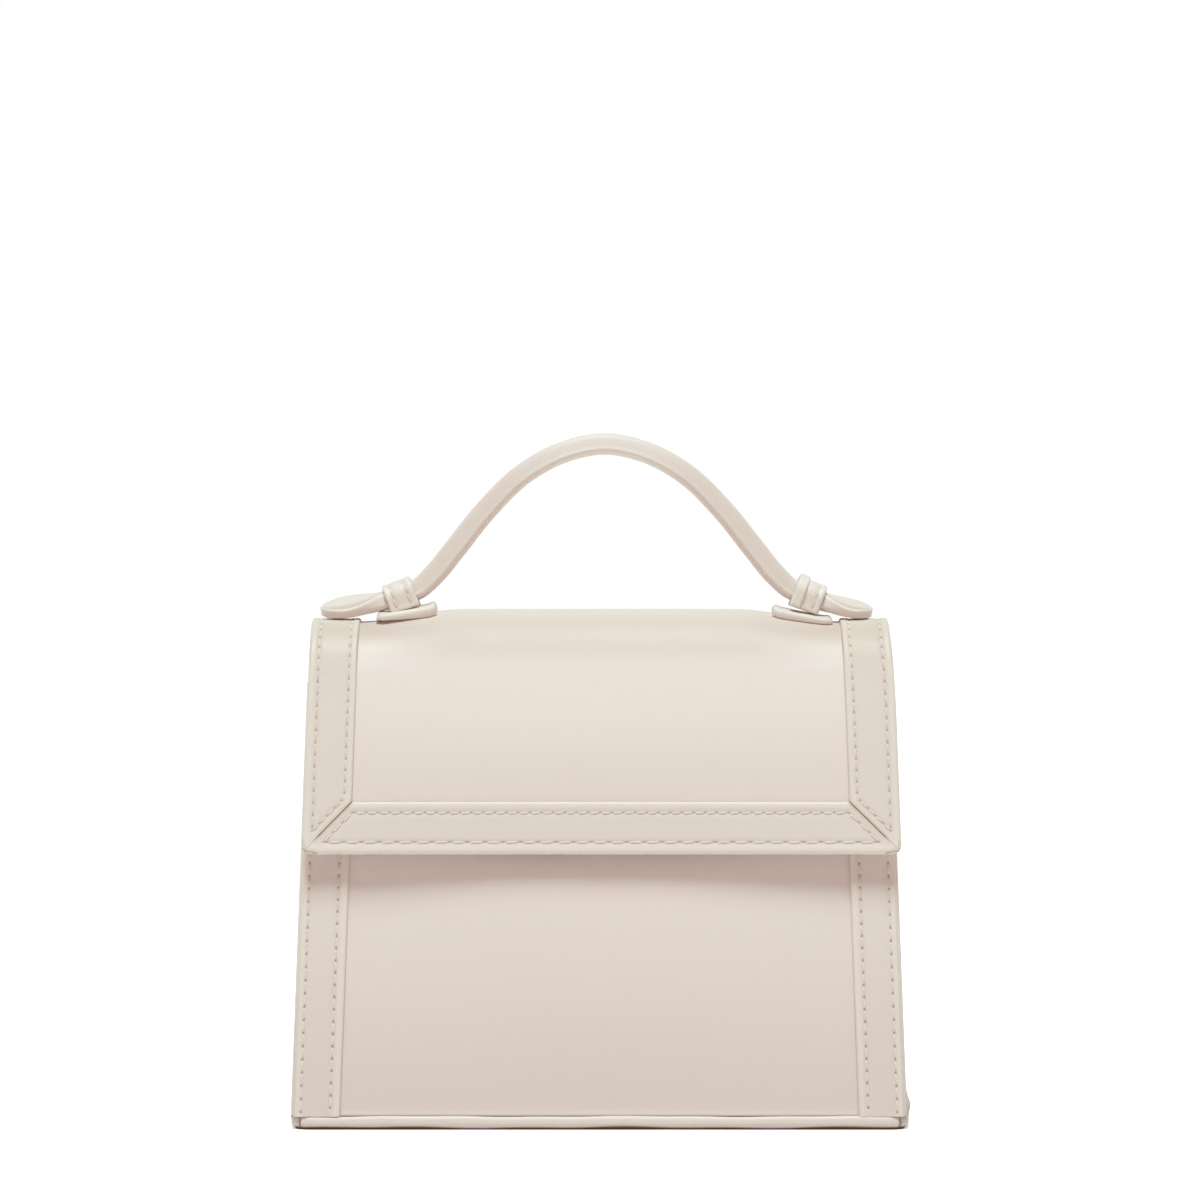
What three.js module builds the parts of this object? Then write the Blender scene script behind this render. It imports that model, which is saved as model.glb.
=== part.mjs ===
// A small structured handbag in pale leather: a hollow body that narrows to its mouth, a banded flap over
// the top, and a rolled handle under two loops. Millimetres, +Z up, front towards -Y, origin in the middle
// of the footprint.
import * as THREE from 'three';

const { lerp, smoothstep, clamp, degToRad } = THREE.MathUtils;

// Body sizes
const BASE_WIDTH = 200;
const TOP_WIDTH = 190.4;
const BASE_DEPTH = 80;
const MOUTH_DEPTH = 34;
const FRONT_HEIGHT = 145;
const BACK_HEIGHT = 148;
const GUSSET_HEIGHT = 142;
const SEAM_FLANGE = 4.5;
const GUSSET_FOLD = 10;
const GUSSET_SWELL = 3.3;
const PANEL_PILLOW = 0.8;
const PILLOW_POWER = 4;
const FOLD_POWER = 1.4;

// Base sizes
const BASE_THICK = 2.4;
const WELT_HEIGHT = 3.9;
const WELT_SIDE_RISE = 1.6;
const WELT_WIDTH = 3;
const WELT_LINE = { width: 198, depth: 80.2 };
const BASE_BOW = 2.4;
const BASE_CORNER = 6;

// Flap sizes
const CROWN_HEIGHT = 164.9;
const CROWN_LIFT = 4.1;
const LIFT_FROM = 44;
const LIFT_TO = 80;
const LIFT_REACH = 45;
const FLAP_EDGE_HEIGHT = 89.2;
const FLAP_SEAM_HEIGHT = 118;
const FLAP_EASE = 3.5;
const FLAP_PILLOW = 0.8;
const SIDE_BAND = 16;
const FRONT_BAND = 17;
const SNAP_WIDTH = 14;
const SNAP_RISE = 9;

// Leather thicknesses, and the gap that neighbours keep
const PANEL = 1.6;
const TRIM = 1.3;
const GUSSET = 1.4;
const GAP = 0.3;

// Handle, loop and tab sizes
const LOOP_X = 67.6;
const LOOP_HEIGHT = 173.5;
const LOOP_TILT = degToRad(20.5);
const LOOP_WIDTH = 10;
const LOOP_STRAP = 1.3;
const LOOP_BORE = { wide: 9.3, thick: 7.1 };
const LOOP_LEG = 4.6;
const HANDLE_SHIFT = 1.5;
const TAIL_STRETCH = { left: 1.09, right: 0.87 };
const TAB_INNER = { x: 55.5, thick: 3.2 };
const TAB_OUTER = { x: 75.4, thick: 1.5 };
const TAB_REACH = 8;
const TAB_CORNER = 0.12;

// Handle sections from the top of the arch out to the tip of a tail
const HANDLE_ROWS = [
  { x: 0, z: 223.8, wide: 9.4, thick: 6.8, tilt: 0 },
  { x: 13.3, z: 221.2, wide: 9.4, thick: 6.8, tilt: 0 },
  { x: 26.6, z: 214.1, wide: 9.4, thick: 6.9, tilt: 0 },
  { x: 39.9, z: 201.2, wide: 9.4, thick: 7.2, tilt: 0 },
  { x: 49.8, z: 188.7, wide: 9.4, thick: 7.4, tilt: 0 },
  { x: 56.5, z: 180.5, wide: 9.3, thick: 7.3, tilt: 0 },
  { x: 61.5, z: 175.9, wide: 9.2, thick: 6.9, tilt: 0 },
  { x: LOOP_X, z: LOOP_HEIGHT, wide: 9.2, thick: 6.8, tilt: 0 },
  { x: 73.6, z: 171.3, wide: 9.6, thick: 6.1, tilt: 3 },
  { x: 79, z: 170, wide: 11.4, thick: 4.8, tilt: 9 },
  { x: 84.4, z: 169.4, wide: 13, thick: 3.7, tilt: 13 },
  { x: 88.6, z: 169.2, wide: 11.4, thick: 3.4, tilt: 13 },
  { x: 90.8, z: 169.2, wide: 8, thick: 3.1, tilt: 13 },
  { x: 91.8, z: 169.2, wide: 3.6, thick: 2.4, tilt: 13 },
];

// Rise of a turned and stitched edge across a strip of leather, as shares of its width and thickness
const TURNED_EDGE = [
  { across: 0, rise: 0.4 },
  { across: 0.04, rise: 0.85 },
  { across: 0.12, rise: 1 },
  { across: 0.24, rise: 0.86 },
  { across: 0.42, rise: 0.86 },
  { across: 0.58, rise: 0.86 },
  { across: 0.76, rise: 0.86 },
  { across: 0.88, rise: 1 },
  { across: 0.96, rise: 0.85 },
  { across: 1, rise: 0.4 },
];

// Round of the welt, as shares of its half width and height, with the flat that it stands on
const WELT_SECTION = [
  { across: -0.7, rise: 0 },
  { across: -1, rise: 0.3 },
  { across: -1, rise: 0.62 },
  { across: -0.6, rise: 0.94 },
  { across: 0, rise: 1 },
  { across: 0.6, rise: 0.94 },
  { across: 1, rise: 0.62 },
  { across: 1, rise: 0.3 },
  { across: 0.7, rise: 0 },
];

// How finely each shape is divided
const FACETS = {
  wallRise: 8,
  wallAcross: 12,
  gussetRise: 10,
  gussetAcross: 10,
  footCurve: 6,
  flapFront: 6,
  flapCrown: 10,
  flapBack: 3,
  flapAcross: 32,
  bandAlong: 16,
  handleRow: 2,
  handleRound: 12,
  loopCurve: 7,
  tabAlong: 8,
  snapRound: 24,
};

// Even steps from one value to another, both ends included
function steps(count, from = 0, to = 1) {
  return Array.from({ length: count + 1 }, (_, i) => lerp(from, to, i / count));
}

// Six times the volume that a triangle list encloses, negative where its faces point inwards
function signedVolume(points, index) {
  let sum = 0;
  for (let i = 0; i < index.length; i += 3) {
    const [a, b, c] = index.slice(i, i + 3).map((k) => points[k]);
    sum += a.dot(b.clone().cross(c));
  }
  return sum;
}

// Skin over a row of closed sections. In each, point i faces point -1 - i, and end caps join those pairs.
function loft(sections, closed = false) {
  const count = sections[0].length;
  const last = (sections.length - 1) * count;
  const points = sections.flat();
  const index = [];
  const quad = (a, b, c, d) => index.push(a, b, c, a, c, d);
  for (let row = 0; row < sections.length - (closed ? 0 : 1); row++) {
    const here = row * count;
    const next = ((row + 1) % sections.length) * count;
    for (let i = 0; i < count; i++) {
      const j = (i + 1) % count;
      quad(here + i, here + j, next + j, next + i);
    }
  }
  for (let i = 0; !closed && i < count / 2 - 1; i++) {
    const far = count - 1 - i;
    quad(far, far - 1, i + 1, i);
    quad(last + i, last + i + 1, last + far - 1, last + far);
  }
  if (signedVolume(points, index) < 0) {
    index.reverse();
  }
  const geometry = new THREE.BufferGeometry().setFromPoints(points);
  geometry.setIndex(index);
  geometry.computeVertexNormals();
  return geometry;
}

// Sheet of leather: face(along, across, outer) gives a point of its outer or inner face
function sheet(along, across, face) {
  const section = (a) => [
    ...across.map((c) => face(a, c, true)),
    ...across.toReversed().map((c) => face(a, c, false)),
  ];
  return loft(along.map(section));
}

// Unit normals of a run of plan points, mitred so that an offset keeps its width round a corner
function mitres(points, closed) {
  const count = points.length;
  const edge = (i, j) => points[j].clone().sub(points[i]).normalize();
  return points.map((_, i) => {
    const back = closed || i > 0 ? edge((i + count - 1) % count, i) : edge(0, 1);
    const ahead = closed || i < count - 1 ? edge(i, (i + 1) % count) : back;
    const middle = back.clone().add(ahead).normalize();
    return new THREE.Vector2(middle.y, -middle.x).divideScalar(middle.dot(back));
  });
}

// Half width of the body at a height
function halfWidth(z) {
  return lerp(BASE_WIDTH, TOP_WIDTH, z / CROWN_HEIGHT) / 2;
}

// Lean of the front and back walls
const WALL_FOOT = WELT_HEIGHT + GAP;
const WALL_SLOPE = (BASE_DEPTH - MOUTH_DEPTH) / 2 / (FRONT_HEIGHT - WALL_FOOT);
const LEAN = Math.atan(WALL_SLOPE);

// Distance of a wall's outer face from the middle plane at a height
function wallDepth(z) {
  return BASE_DEPTH / 2 - WALL_SLOPE * (z - WALL_FOOT);
}

// Outward swell of a wall between its foot and a height, at a share of its half width
function pillow(across, z, top) {
  const rise = clamp((z - WALL_FOOT) / (top - WALL_FOOT), 0, 1);
  return PANEL_PILLOW * (1 - across ** PILLOW_POWER) * Math.sin(Math.PI * rise);
}

// Front wall panel or, turned to the back, the back one
function wallPanel(facing, height, swellTop) {
  const heights = steps(FACETS.wallRise, WALL_FOOT, height);
  return sheet(heights, steps(FACETS.wallAcross, -1, 1), (z, across, outer) => {
    const depth = wallDepth(z) + pillow(across, z, swellTop) - (outer ? 0 : PANEL);
    return new THREE.Vector3(across * halfWidth(z), facing * depth, z);
  });
}

// Height of a band's outer or inner face over the panel that it is sewn to
function bandRise(strip, outer) {
  return GAP + (outer ? strip.rise * TRIM : 0);
}

// Upright band along one side of the front panel
function frontBand(side) {
  const heights = steps(FACETS.wallRise, WALL_FOOT, FRONT_HEIGHT - GAP);
  return sheet(heights, TURNED_EDGE, (z, strip, outer) => {
    const x = halfWidth(z) - strip.across * SIDE_BAND;
    const depth = wallDepth(z) + pillow(x / halfWidth(z), z, FRONT_HEIGHT) + bandRise(strip, outer);
    return new THREE.Vector3(side * x, -depth, z);
  });
}

// Side wall with a seam flange behind each panel edge, swollen at the foot and folded in at the mouth
function gusset(side) {
  const runs = steps(FACETS.gussetAcross, -1, 1);
  const section = (z) => {
    const rise = smoothstep(z, WALL_FOOT, GUSSET_HEIGHT);
    const edge = halfWidth(z);
    const depth = wallDepth(z) - PANEL - GAP - GUSSET / 2;
    const wall = runs.map((run) => {
      const swell = GUSSET_SWELL * (1 - rise) ** 2 * (1 - run ** PILLOW_POWER);
      const fold = GUSSET_FOLD * rise * (1 - Math.abs(run) ** FOLD_POWER);
      return new THREE.Vector2(edge - SEAM_FLANGE + swell - fold, run * depth);
    });
    const plan = [new THREE.Vector2(edge, -depth), ...wall, new THREE.Vector2(edge, depth)];
    const normals = mitres(plan, false);
    const face = (reach) => plan.map((p, i) => p.clone().addScaledVector(normals[i], reach * GUSSET / 2));
    const loop = [...face(1), ...face(-1).reverse()];
    return loop.map((p) => new THREE.Vector3(side * p.x, p.y, z));
  };
  return loft(steps(FACETS.gussetRise, WALL_FOOT, GUSSET_HEIGHT).map(section));
}

// Outline inside the welt's middle line, with round corners and sides that bow outwards
function footprint(inset) {
  const w = WELT_LINE.width / 2 - inset;
  const d = WELT_LINE.depth / 2 - inset;
  const r = BASE_CORNER;
  const bow = w + 2 * BASE_BOW;
  const outline = new THREE.Shape();
  outline.moveTo(r - w, -d);
  outline.lineTo(w - r, -d);
  outline.quadraticCurveTo(w, -d, w, r - d);
  outline.quadraticCurveTo(bow, 0, w, d - r);
  outline.quadraticCurveTo(w, d, w - r, d);
  outline.lineTo(r - w, d);
  outline.quadraticCurveTo(-w, d, -w, d - r);
  outline.quadraticCurveTo(-bow, 0, -w, r - d);
  outline.quadraticCurveTo(-w, -d, r - w, -d);
  return outline;
}

// Flat bottom inside the welt
function basePanel() {
  const outline = footprint(WELT_WIDTH / 2 + GAP);
  const curveSegments = FACETS.footCurve;
  return new THREE.ExtrudeGeometry(outline, { depth: BASE_THICK, bevelEnabled: false, curveSegments });
}

// Rounded welt round the foot, a little taller along the sides
function baseWelt() {
  const path = footprint(0).getPoints(FACETS.footCurve).slice(0, -1);
  const normals = mitres(path, true);
  return loft(path.map((p, i) => {
    const bowed = (Math.abs(p.x) - WELT_LINE.width / 2) / BASE_BOW;
    const height = WELT_HEIGHT + WELT_SIDE_RISE * smoothstep(bowed, 0, 1);
    return WELT_SECTION.map(({ across, rise }) => {
      const at = p.clone().addScaledVector(normals[i], across * WELT_WIDTH / 2);
      return new THREE.Vector3(at.x, at.y, rise * height);
    });
  }), true);
}

// Side profile of the flap's outer face: a run up the front, a round crown and a run down the back
const FLAP_OUT_FRONT = GAP + TRIM + FLAP_EASE + PANEL;
const FLAP_OUT_BACK = GAP + PANEL;
const CROWN_Y = (FLAP_OUT_BACK - FLAP_OUT_FRONT) / 2 / Math.cos(LEAN);
const CROWN_ROOM = wallDepth(CROWN_HEIGHT) * Math.cos(LEAN) + (FLAP_OUT_FRONT + FLAP_OUT_BACK) / 2;
const CROWN_RADIUS = CROWN_ROOM / (1 - Math.sin(LEAN));
const CROWN_Z = CROWN_HEIGHT - CROWN_RADIUS;
const SHOULDER_Z = CROWN_Z + CROWN_RADIUS * Math.sin(LEAN);
const FRONT_RUN = (SHOULDER_Z - FLAP_EDGE_HEIGHT) / Math.cos(LEAN);
const CROWN_RUN = CROWN_RADIUS * (Math.PI - 2 * LEAN);
const BACK_RUN = (SHOULDER_Z - FLAP_SEAM_HEIGHT) / Math.cos(LEAN);
const FLAP_RUN = FRONT_RUN + CROWN_RUN + BACK_RUN;
const APEX_RUN = FRONT_RUN + CROWN_RUN / 2;

// Place and slope of the profile at a run up from the flap's front edge
function flapProfile(run) {
  const onCrown = clamp(run, FRONT_RUN, FRONT_RUN + CROWN_RUN);
  const turn = LEAN + (onCrown - FRONT_RUN) / CROWN_RADIUS;
  const past = run - onCrown;
  const y = CROWN_Y - CROWN_RADIUS * Math.cos(turn) + past * Math.sin(turn);
  const z = CROWN_Z + CROWN_RADIUS * Math.sin(turn) + past * Math.cos(turn);
  return { y, z, turn };
}

// Half width of the flap at a run
function flapHalfWidth(run) {
  return halfWidth(flapProfile(run).z);
}

// Point at a distance out from the flap panel's outer face
function flapPoint(x, run, out) {
  const { y, z, turn } = flapProfile(run);
  const near = clamp(Math.abs(run - APEX_RUN) / LIFT_REACH, 0, 1);
  const fade = (1 + Math.cos(Math.PI * near)) / 2;
  const lift = CROWN_LIFT * (1 - smoothstep(Math.abs(x), LIFT_FROM, LIFT_TO)) * fade;
  const bulge = 1 - (x / halfWidth(z)) ** PILLOW_POWER;
  const reach = out + FLAP_PILLOW * bulge * Math.sin(Math.PI * Math.min(run / FRONT_RUN, 1));
  return new THREE.Vector3(x, y - Math.cos(turn) * reach, z + Math.sin(turn) * reach + lift);
}

// Runs along the flap, closer together over the crown
const FLAP_RUNS = [
  ...steps(FACETS.flapFront, 0, FRONT_RUN),
  ...steps(FACETS.flapCrown, FRONT_RUN, FRONT_RUN + CROWN_RUN).slice(1, -1),
  ...steps(FACETS.flapBack, FRONT_RUN + CROWN_RUN, FLAP_RUN),
];

// Flap leather
function flapPanel() {
  return sheet(FLAP_RUNS, steps(FACETS.flapAcross, -1, 1), (run, across, outer) => (
    flapPoint(across * flapHalfWidth(run), run, outer ? 0 : -PANEL)
  ));
}

// Band along one side of the flap, its front end cut to the mitre
function flapSideBand(side) {
  return sheet(FLAP_RUNS, TURNED_EDGE, (panelRun, strip, outer) => {
    const run = Math.max(panelRun, lerp(strip.across * FRONT_BAND + GAP, FRONT_RUN, panelRun / FRONT_RUN));
    const x = flapHalfWidth(run) - strip.across * SIDE_BAND;
    return flapPoint(side * x, run, bandRise(strip, outer));
  });
}

// Band along the flap's front edge, both ends cut to the mitre
function flapFrontBand() {
  return sheet(steps(FACETS.bandAlong, -1, 1), TURNED_EDGE, (share, strip, outer) => {
    const run = strip.across * FRONT_BAND;
    const x = share * (flapHalfWidth(run) - strip.across * SIDE_BAND - GAP);
    return flapPoint(x, run, bandRise(strip, outer));
  });
}

// Round closure between the flap and the front panel
function flapSnap() {
  const flapFace = flapPoint(0, SNAP_RISE, -PANEL - GAP);
  const wallFace = -wallDepth(flapFace.z) - pillow(0, flapFace.z, FRONT_HEIGHT) - GAP;
  const thick = (wallFace - flapFace.y) * Math.cos(LEAN);
  const snap = new THREE.CylinderGeometry(SNAP_WIDTH / 2, SNAP_WIDTH / 2, thick, FACETS.snapRound);
  const mesh = named('flap_snap', snap, metal());
  mesh.rotation.x = Math.PI - LEAN;
  mesh.position.set(0, (flapFace.y + wallFace) / 2, flapFace.z);
  return mesh;
}

// Rolled handle, its sections read along a smooth line from tip to tip
function handle() {
  const half = (side, stretch) => HANDLE_ROWS.map((row) => {
    const tail = Math.max(row.x - LOOP_X, 0);
    return { ...row, x: side * (row.x + tail * (stretch - 1)) };
  });
  const rows = [...half(-1, TAIL_STRETCH.left).slice(1).reverse(), ...half(1, TAIL_STRETCH.right)];
  const line = new THREE.CatmullRomCurve3(rows.map(({ x, z }) => new THREE.Vector3(x, 0, z)));
  const size = ({ wide, thick, tilt }) => new THREE.Vector3(wide, thick, tilt);
  const sizes = new THREE.CatmullRomCurve3(rows.map(size));
  return loft(steps(FACETS.handleRow * (rows.length - 1)).map((share) => {
    const centre = line.getPoint(share);
    const { x: wide, y: thick, z: tilt } = sizes.getPoint(share);
    const along = line.getTangent(share);
    const deep = new THREE.Vector3(0, 1, 0).applyAxisAngle(along, degToRad(tilt));
    const up = along.clone().cross(deep);
    return Array.from({ length: FACETS.handleRound }, (_, i) => {
      const angle = (i + 0.5) / FACETS.handleRound * 2 * Math.PI;
      return centre.clone()
        .addScaledVector(deep, Math.cos(angle) * wide / 2)
        .addScaledVector(up, -Math.sin(angle) * thick / 2);
    });
  }));
}

// Strap over the handle, its two legs standing on the tab below
function handleLoop() {
  const inner = { y: LOOP_BORE.wide / 2 + GAP, z: LOOP_BORE.thick / 2 + GAP };
  const path = new THREE.Path();
  path.moveTo(-inner.y, -LOOP_LEG);
  path.lineTo(-inner.y, 0);
  path.absellipse(0, 0, inner.y, inner.z, Math.PI, 0, true);
  path.lineTo(inner.y, -LOOP_LEG);
  const apart = (p, i, all) => i === 0 || p.distanceTo(all[i - 1]) > GAP;
  const points = path.getPoints(FACETS.loopCurve).filter(apart);
  const normals = mitres(points, false);
  return sheet(points.keys().toArray(), TURNED_EDGE, (i, strip, outer) => {
    const at = points[i].clone().addScaledVector(normals[i], outer ? -strip.rise * LOOP_STRAP : 0);
    return new THREE.Vector3((strip.across - 0.5) * LOOP_WIDTH, at.x, at.y);
  });
}

// Tab on the flap's crown under one loop, thicker towards the middle of the bag
function handleTab(side) {
  const corner = (share) => TAB_CORNER * smoothstep(Math.abs(share - 0.5), 0.5 - TAB_CORNER, 0.5);
  return sheet(steps(FACETS.tabAlong), TURNED_EDGE, (share, strip, outer) => {
    const x = lerp(TAB_INNER.x, TAB_OUTER.x, share);
    const thick = lerp(TAB_INNER.thick, TAB_OUTER.thick, share);
    const run = APEX_RUN + (2 * strip.across - 1) * TAB_REACH * (1 - corner(share));
    return flapPoint(HANDLE_SHIFT + side * x, run, GAP + (outer ? strip.rise * thick : 0));
  });
}

// Pale leathers and the plain metal of the closure
function leather(color, roughness) {
  return new THREE.MeshStandardMaterial({ color, roughness, metalness: 0 });
}
const panelLeather = () => leather(0xe7ddd3, 0.52);
const trimLeather = () => leather(0xe1d5ca, 0.5);
const gussetLeather = () => leather(0xdccfc4, 0.55);
const metal = () => new THREE.MeshStandardMaterial({ color: 0xb9b4ac, roughness: 0.35, metalness: 1 });

// Mesh with its node name
function named(name, geometry, material) {
  const mesh = new THREE.Mesh(geometry, material);
  mesh.name = name;
  return mesh;
}

const SIDES = [{ word: 'left', side: -1 }, { word: 'right', side: 1 }];

// Body
const body = new THREE.Group();
body.add(named('front_panel', wallPanel(-1, FRONT_HEIGHT, FRONT_HEIGHT), panelLeather()));
body.add(named('back_panel', wallPanel(1, BACK_HEIGHT, FLAP_SEAM_HEIGHT), panelLeather()));
body.add(named('base_panel', basePanel(), gussetLeather()));
body.add(named('base_welt', baseWelt(), trimLeather()));
for (const { word, side } of SIDES) {
  body.add(named(`gusset_${word}`, gusset(side), gussetLeather()));
  body.add(named(`front_band_${word}`, frontBand(side), trimLeather()));
}

// Flap
const flap = new THREE.Group();
flap.add(named('flap_panel', flapPanel(), panelLeather()));
flap.add(named('flap_band_front', flapFrontBand(), trimLeather()));
flap.add(flapSnap());
for (const { word, side } of SIDES) {
  flap.add(named(`flap_band_${word}`, flapSideBand(side), trimLeather()));
}

// Handle with its loops, over the crown and a little off the middle, and the tabs on the flap below
const carry = new THREE.Group();
carry.position.set(HANDLE_SHIFT, CROWN_Y, 0);
carry.add(named('handle', handle(), trimLeather()));
for (const { word, side } of SIDES) {
  const loop = named(`handle_loop_${word}`, handleLoop(), trimLeather());
  loop.position.set(side * LOOP_X, 0, LOOP_HEIGHT);
  loop.rotation.y = side * LOOP_TILT;
  carry.add(loop);
  flap.add(named(`handle_tab_${word}`, handleTab(side), trimLeather()));
}

const bag = new THREE.Group();
bag.add(body, flap, carry);

export default bag;
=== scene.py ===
"""Looks of a small pale leather bag with a banded flap and a rolled handle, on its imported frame."""
import logging
import math
from dataclasses import dataclass, field
from enum import Enum
from typing import Any, Callable, Protocol, Sequence

import bmesh
import bpy
import numpy as np
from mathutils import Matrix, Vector


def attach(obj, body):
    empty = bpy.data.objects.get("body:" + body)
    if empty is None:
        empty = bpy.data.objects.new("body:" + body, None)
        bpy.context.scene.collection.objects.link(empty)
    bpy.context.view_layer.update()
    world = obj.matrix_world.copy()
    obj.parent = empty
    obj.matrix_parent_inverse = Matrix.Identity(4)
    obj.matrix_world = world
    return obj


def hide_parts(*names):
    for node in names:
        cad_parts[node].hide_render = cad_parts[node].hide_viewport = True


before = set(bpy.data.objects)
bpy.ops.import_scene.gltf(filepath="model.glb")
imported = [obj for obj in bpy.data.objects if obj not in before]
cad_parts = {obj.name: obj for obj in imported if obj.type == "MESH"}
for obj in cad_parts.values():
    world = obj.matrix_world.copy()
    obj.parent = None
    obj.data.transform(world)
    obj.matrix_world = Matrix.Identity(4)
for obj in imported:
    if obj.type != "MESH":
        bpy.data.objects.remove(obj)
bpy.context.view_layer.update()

LOG = logging.getLogger("bag")
Grid = np.ndarray
Colour = tuple[float, float, float, float]
Place = tuple[float, float, float]
Span = tuple[float, float]
Cut = Callable[[Grid, Grid], tuple[Grid, Grid]]
MM = 0.001
WHITE: Colour = (1.0, 1.0, 1.0, 1.0)
BLACK: Colour = (0.0, 0.0, 0.0, 1.0)


class Slot(Enum):
    """Material slot of the record that a piece takes its finish from."""

    PANEL = "panel_leather"
    TRIM = "trim_leather"
    SIDE = "side_leather"
    THREAD = "thread"
    METAL = "snap_metal"


class Side(Enum):
    """Side of the bag, as seen from its front."""

    LEFT = -1
    RIGHT = 1

    @property
    def word(self) -> str:
        """Word for the side in a piece's name."""
        return self.name.lower()


class Facing(Enum):
    """Way that a wall of the body faces."""

    FRONT = -1
    BACK = 1


class Edge(Enum):
    """Edge of a cut piece: LOW and HIGH run along it, START and END close it."""

    LOW = "low"
    HIGH = "high"
    START = "start"
    END = "end"


class Tint(Enum):
    """Value stored at each vertex for the finishes to read."""

    # Painted shade in needle holes, mitre slits, seam rims, corner tucks, the tails' crease and under the
    # welt.
    PIT = "pit"
    # Wear with a painted highlight on edge lips, and a painted highlight on the welt's upper half.
    LIP = "lip"
    # Painted shade in stitch grooves, creases, rims and on the handle's legs and underside, with the
    # handle's even warm tone.
    GROOVE = "groove"


def lerp(start: Any, end: Any, share: Any) -> Any:
    """Value at a share of the way from start to end."""
    return start + (end - start) * share


def smooth(value: Any, low: float, high: float) -> Any:
    """Rise from 0 at low to 1 at high, level at both ends."""
    share = np.clip((value - low) / (high - low), 0, 1)
    return share * share * (3 - 2 * share)


def bell(distance: Any, width: float) -> Any:
    """Round bump of height 1 that fades over a width."""
    return np.exp(-((distance / width) ** 2))


def passed(line: Grid) -> Grid:
    """Length from a line's start to each of its corners."""
    return np.concatenate([[0], np.cumsum(np.linalg.norm(np.diff(line, axis=0), axis=1))])


def unit(vectors: Grid) -> Grid:
    """Vectors brought to a length of 1, with the axes last."""
    return vectors / np.linalg.norm(vectors, axis=-1, keepdims=True)


def weave(ids: Grid) -> Grid:
    """Four-cornered faces between the neighbours of a grid of point numbers."""
    corners = (ids[:-1, :-1], ids[:-1, 1:], ids[1:, 1:], ids[1:, :-1])
    return np.stack(corners, axis=-1).reshape(-1, 4)


def linear(code: int) -> Colour:
    """Scene colour of a screen colour.

    Args:
        code: Screen colour as 0xRRGGBB.

    Returns:
        Linear red, green, blue and an alpha of 1.
    """
    parts = [(code >> shift & 255) / 255 for shift in (16, 8, 0)]
    red, green, blue = (c / 12.92 if c <= 0.04045 else ((c + 0.055) / 1.055) ** 2.4 for c in parts)
    return (red, green, blue, 1.0)


def stops(length: float, margin: float, fine: float, coarse: float) -> Grid:
    """Shares along a length, closer together near both ends.

    Args:
        length: Whole length in millimetres.
        margin: Length at each end that has the fine steps.
        fine: Step at the ends.
        coarse: Step between them.

    Returns:
        Shares from 0 to 1.
    """
    margin = min(margin, length / 3)
    near = np.linspace(0, margin, max(2, round(margin / fine)) + 1)
    middle = np.linspace(margin, length - margin, max(2, round((length - 2 * margin) / coarse)) + 1)
    return np.concatenate([near[:-1], middle, length - near[::-1][1:]]) / length


def along_line(points: Grid, line: Grid) -> tuple[Grid, Grid]:
    """Nearest places on a flat line.

    Args:
        points: Flat points, one in each row.
        line: Corners of the line, one in each row.

    Returns:
        Distance of each point from the line, and how far along the line its nearest place lies.
    """
    spans = np.diff(line, axis=0)
    lengths = np.linalg.norm(spans, axis=1)
    nearest = np.full(len(points), np.inf)
    place = np.zeros(len(points))
    for start, span, length, done in zip(line, spans, lengths, passed(line)):
        share = np.clip((points - start) @ span / length**2, 0, 1)
        gap = np.linalg.norm(points - start - share[:, None] * span, axis=1)
        closer = gap < nearest
        nearest[closer] = gap[closer]
        place[closer] = done + share[closer] * length
    return nearest, place


class Value:
    """Output of a shader node, with arithmetic that adds Math nodes."""

    def __init__(self, shader: "Shader", socket: bpy.types.NodeSocket) -> None:
        """Wrap a socket of a shader's tree."""
        self.shader = shader
        self.socket = socket

    def __add__(self, other: "Value | float") -> "Value":
        """Sum."""
        return self.shader.math("ADD", self, other)

    def __radd__(self, other: float) -> "Value":
        """Sum with a number on the left."""
        return self.shader.math("ADD", other, self)

    def __sub__(self, other: "Value | float") -> "Value":
        """Difference."""
        return self.shader.math("SUBTRACT", self, other)

    def __rsub__(self, other: float) -> "Value":
        """Difference from a number."""
        return self.shader.math("SUBTRACT", other, self)

    def __mul__(self, other: "Value | float") -> "Value":
        """Product."""
        return self.shader.math("MULTIPLY", self, other)

    def __rmul__(self, other: float) -> "Value":
        """Product with a number on the left."""
        return self.shader.math("MULTIPLY", other, self)


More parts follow.
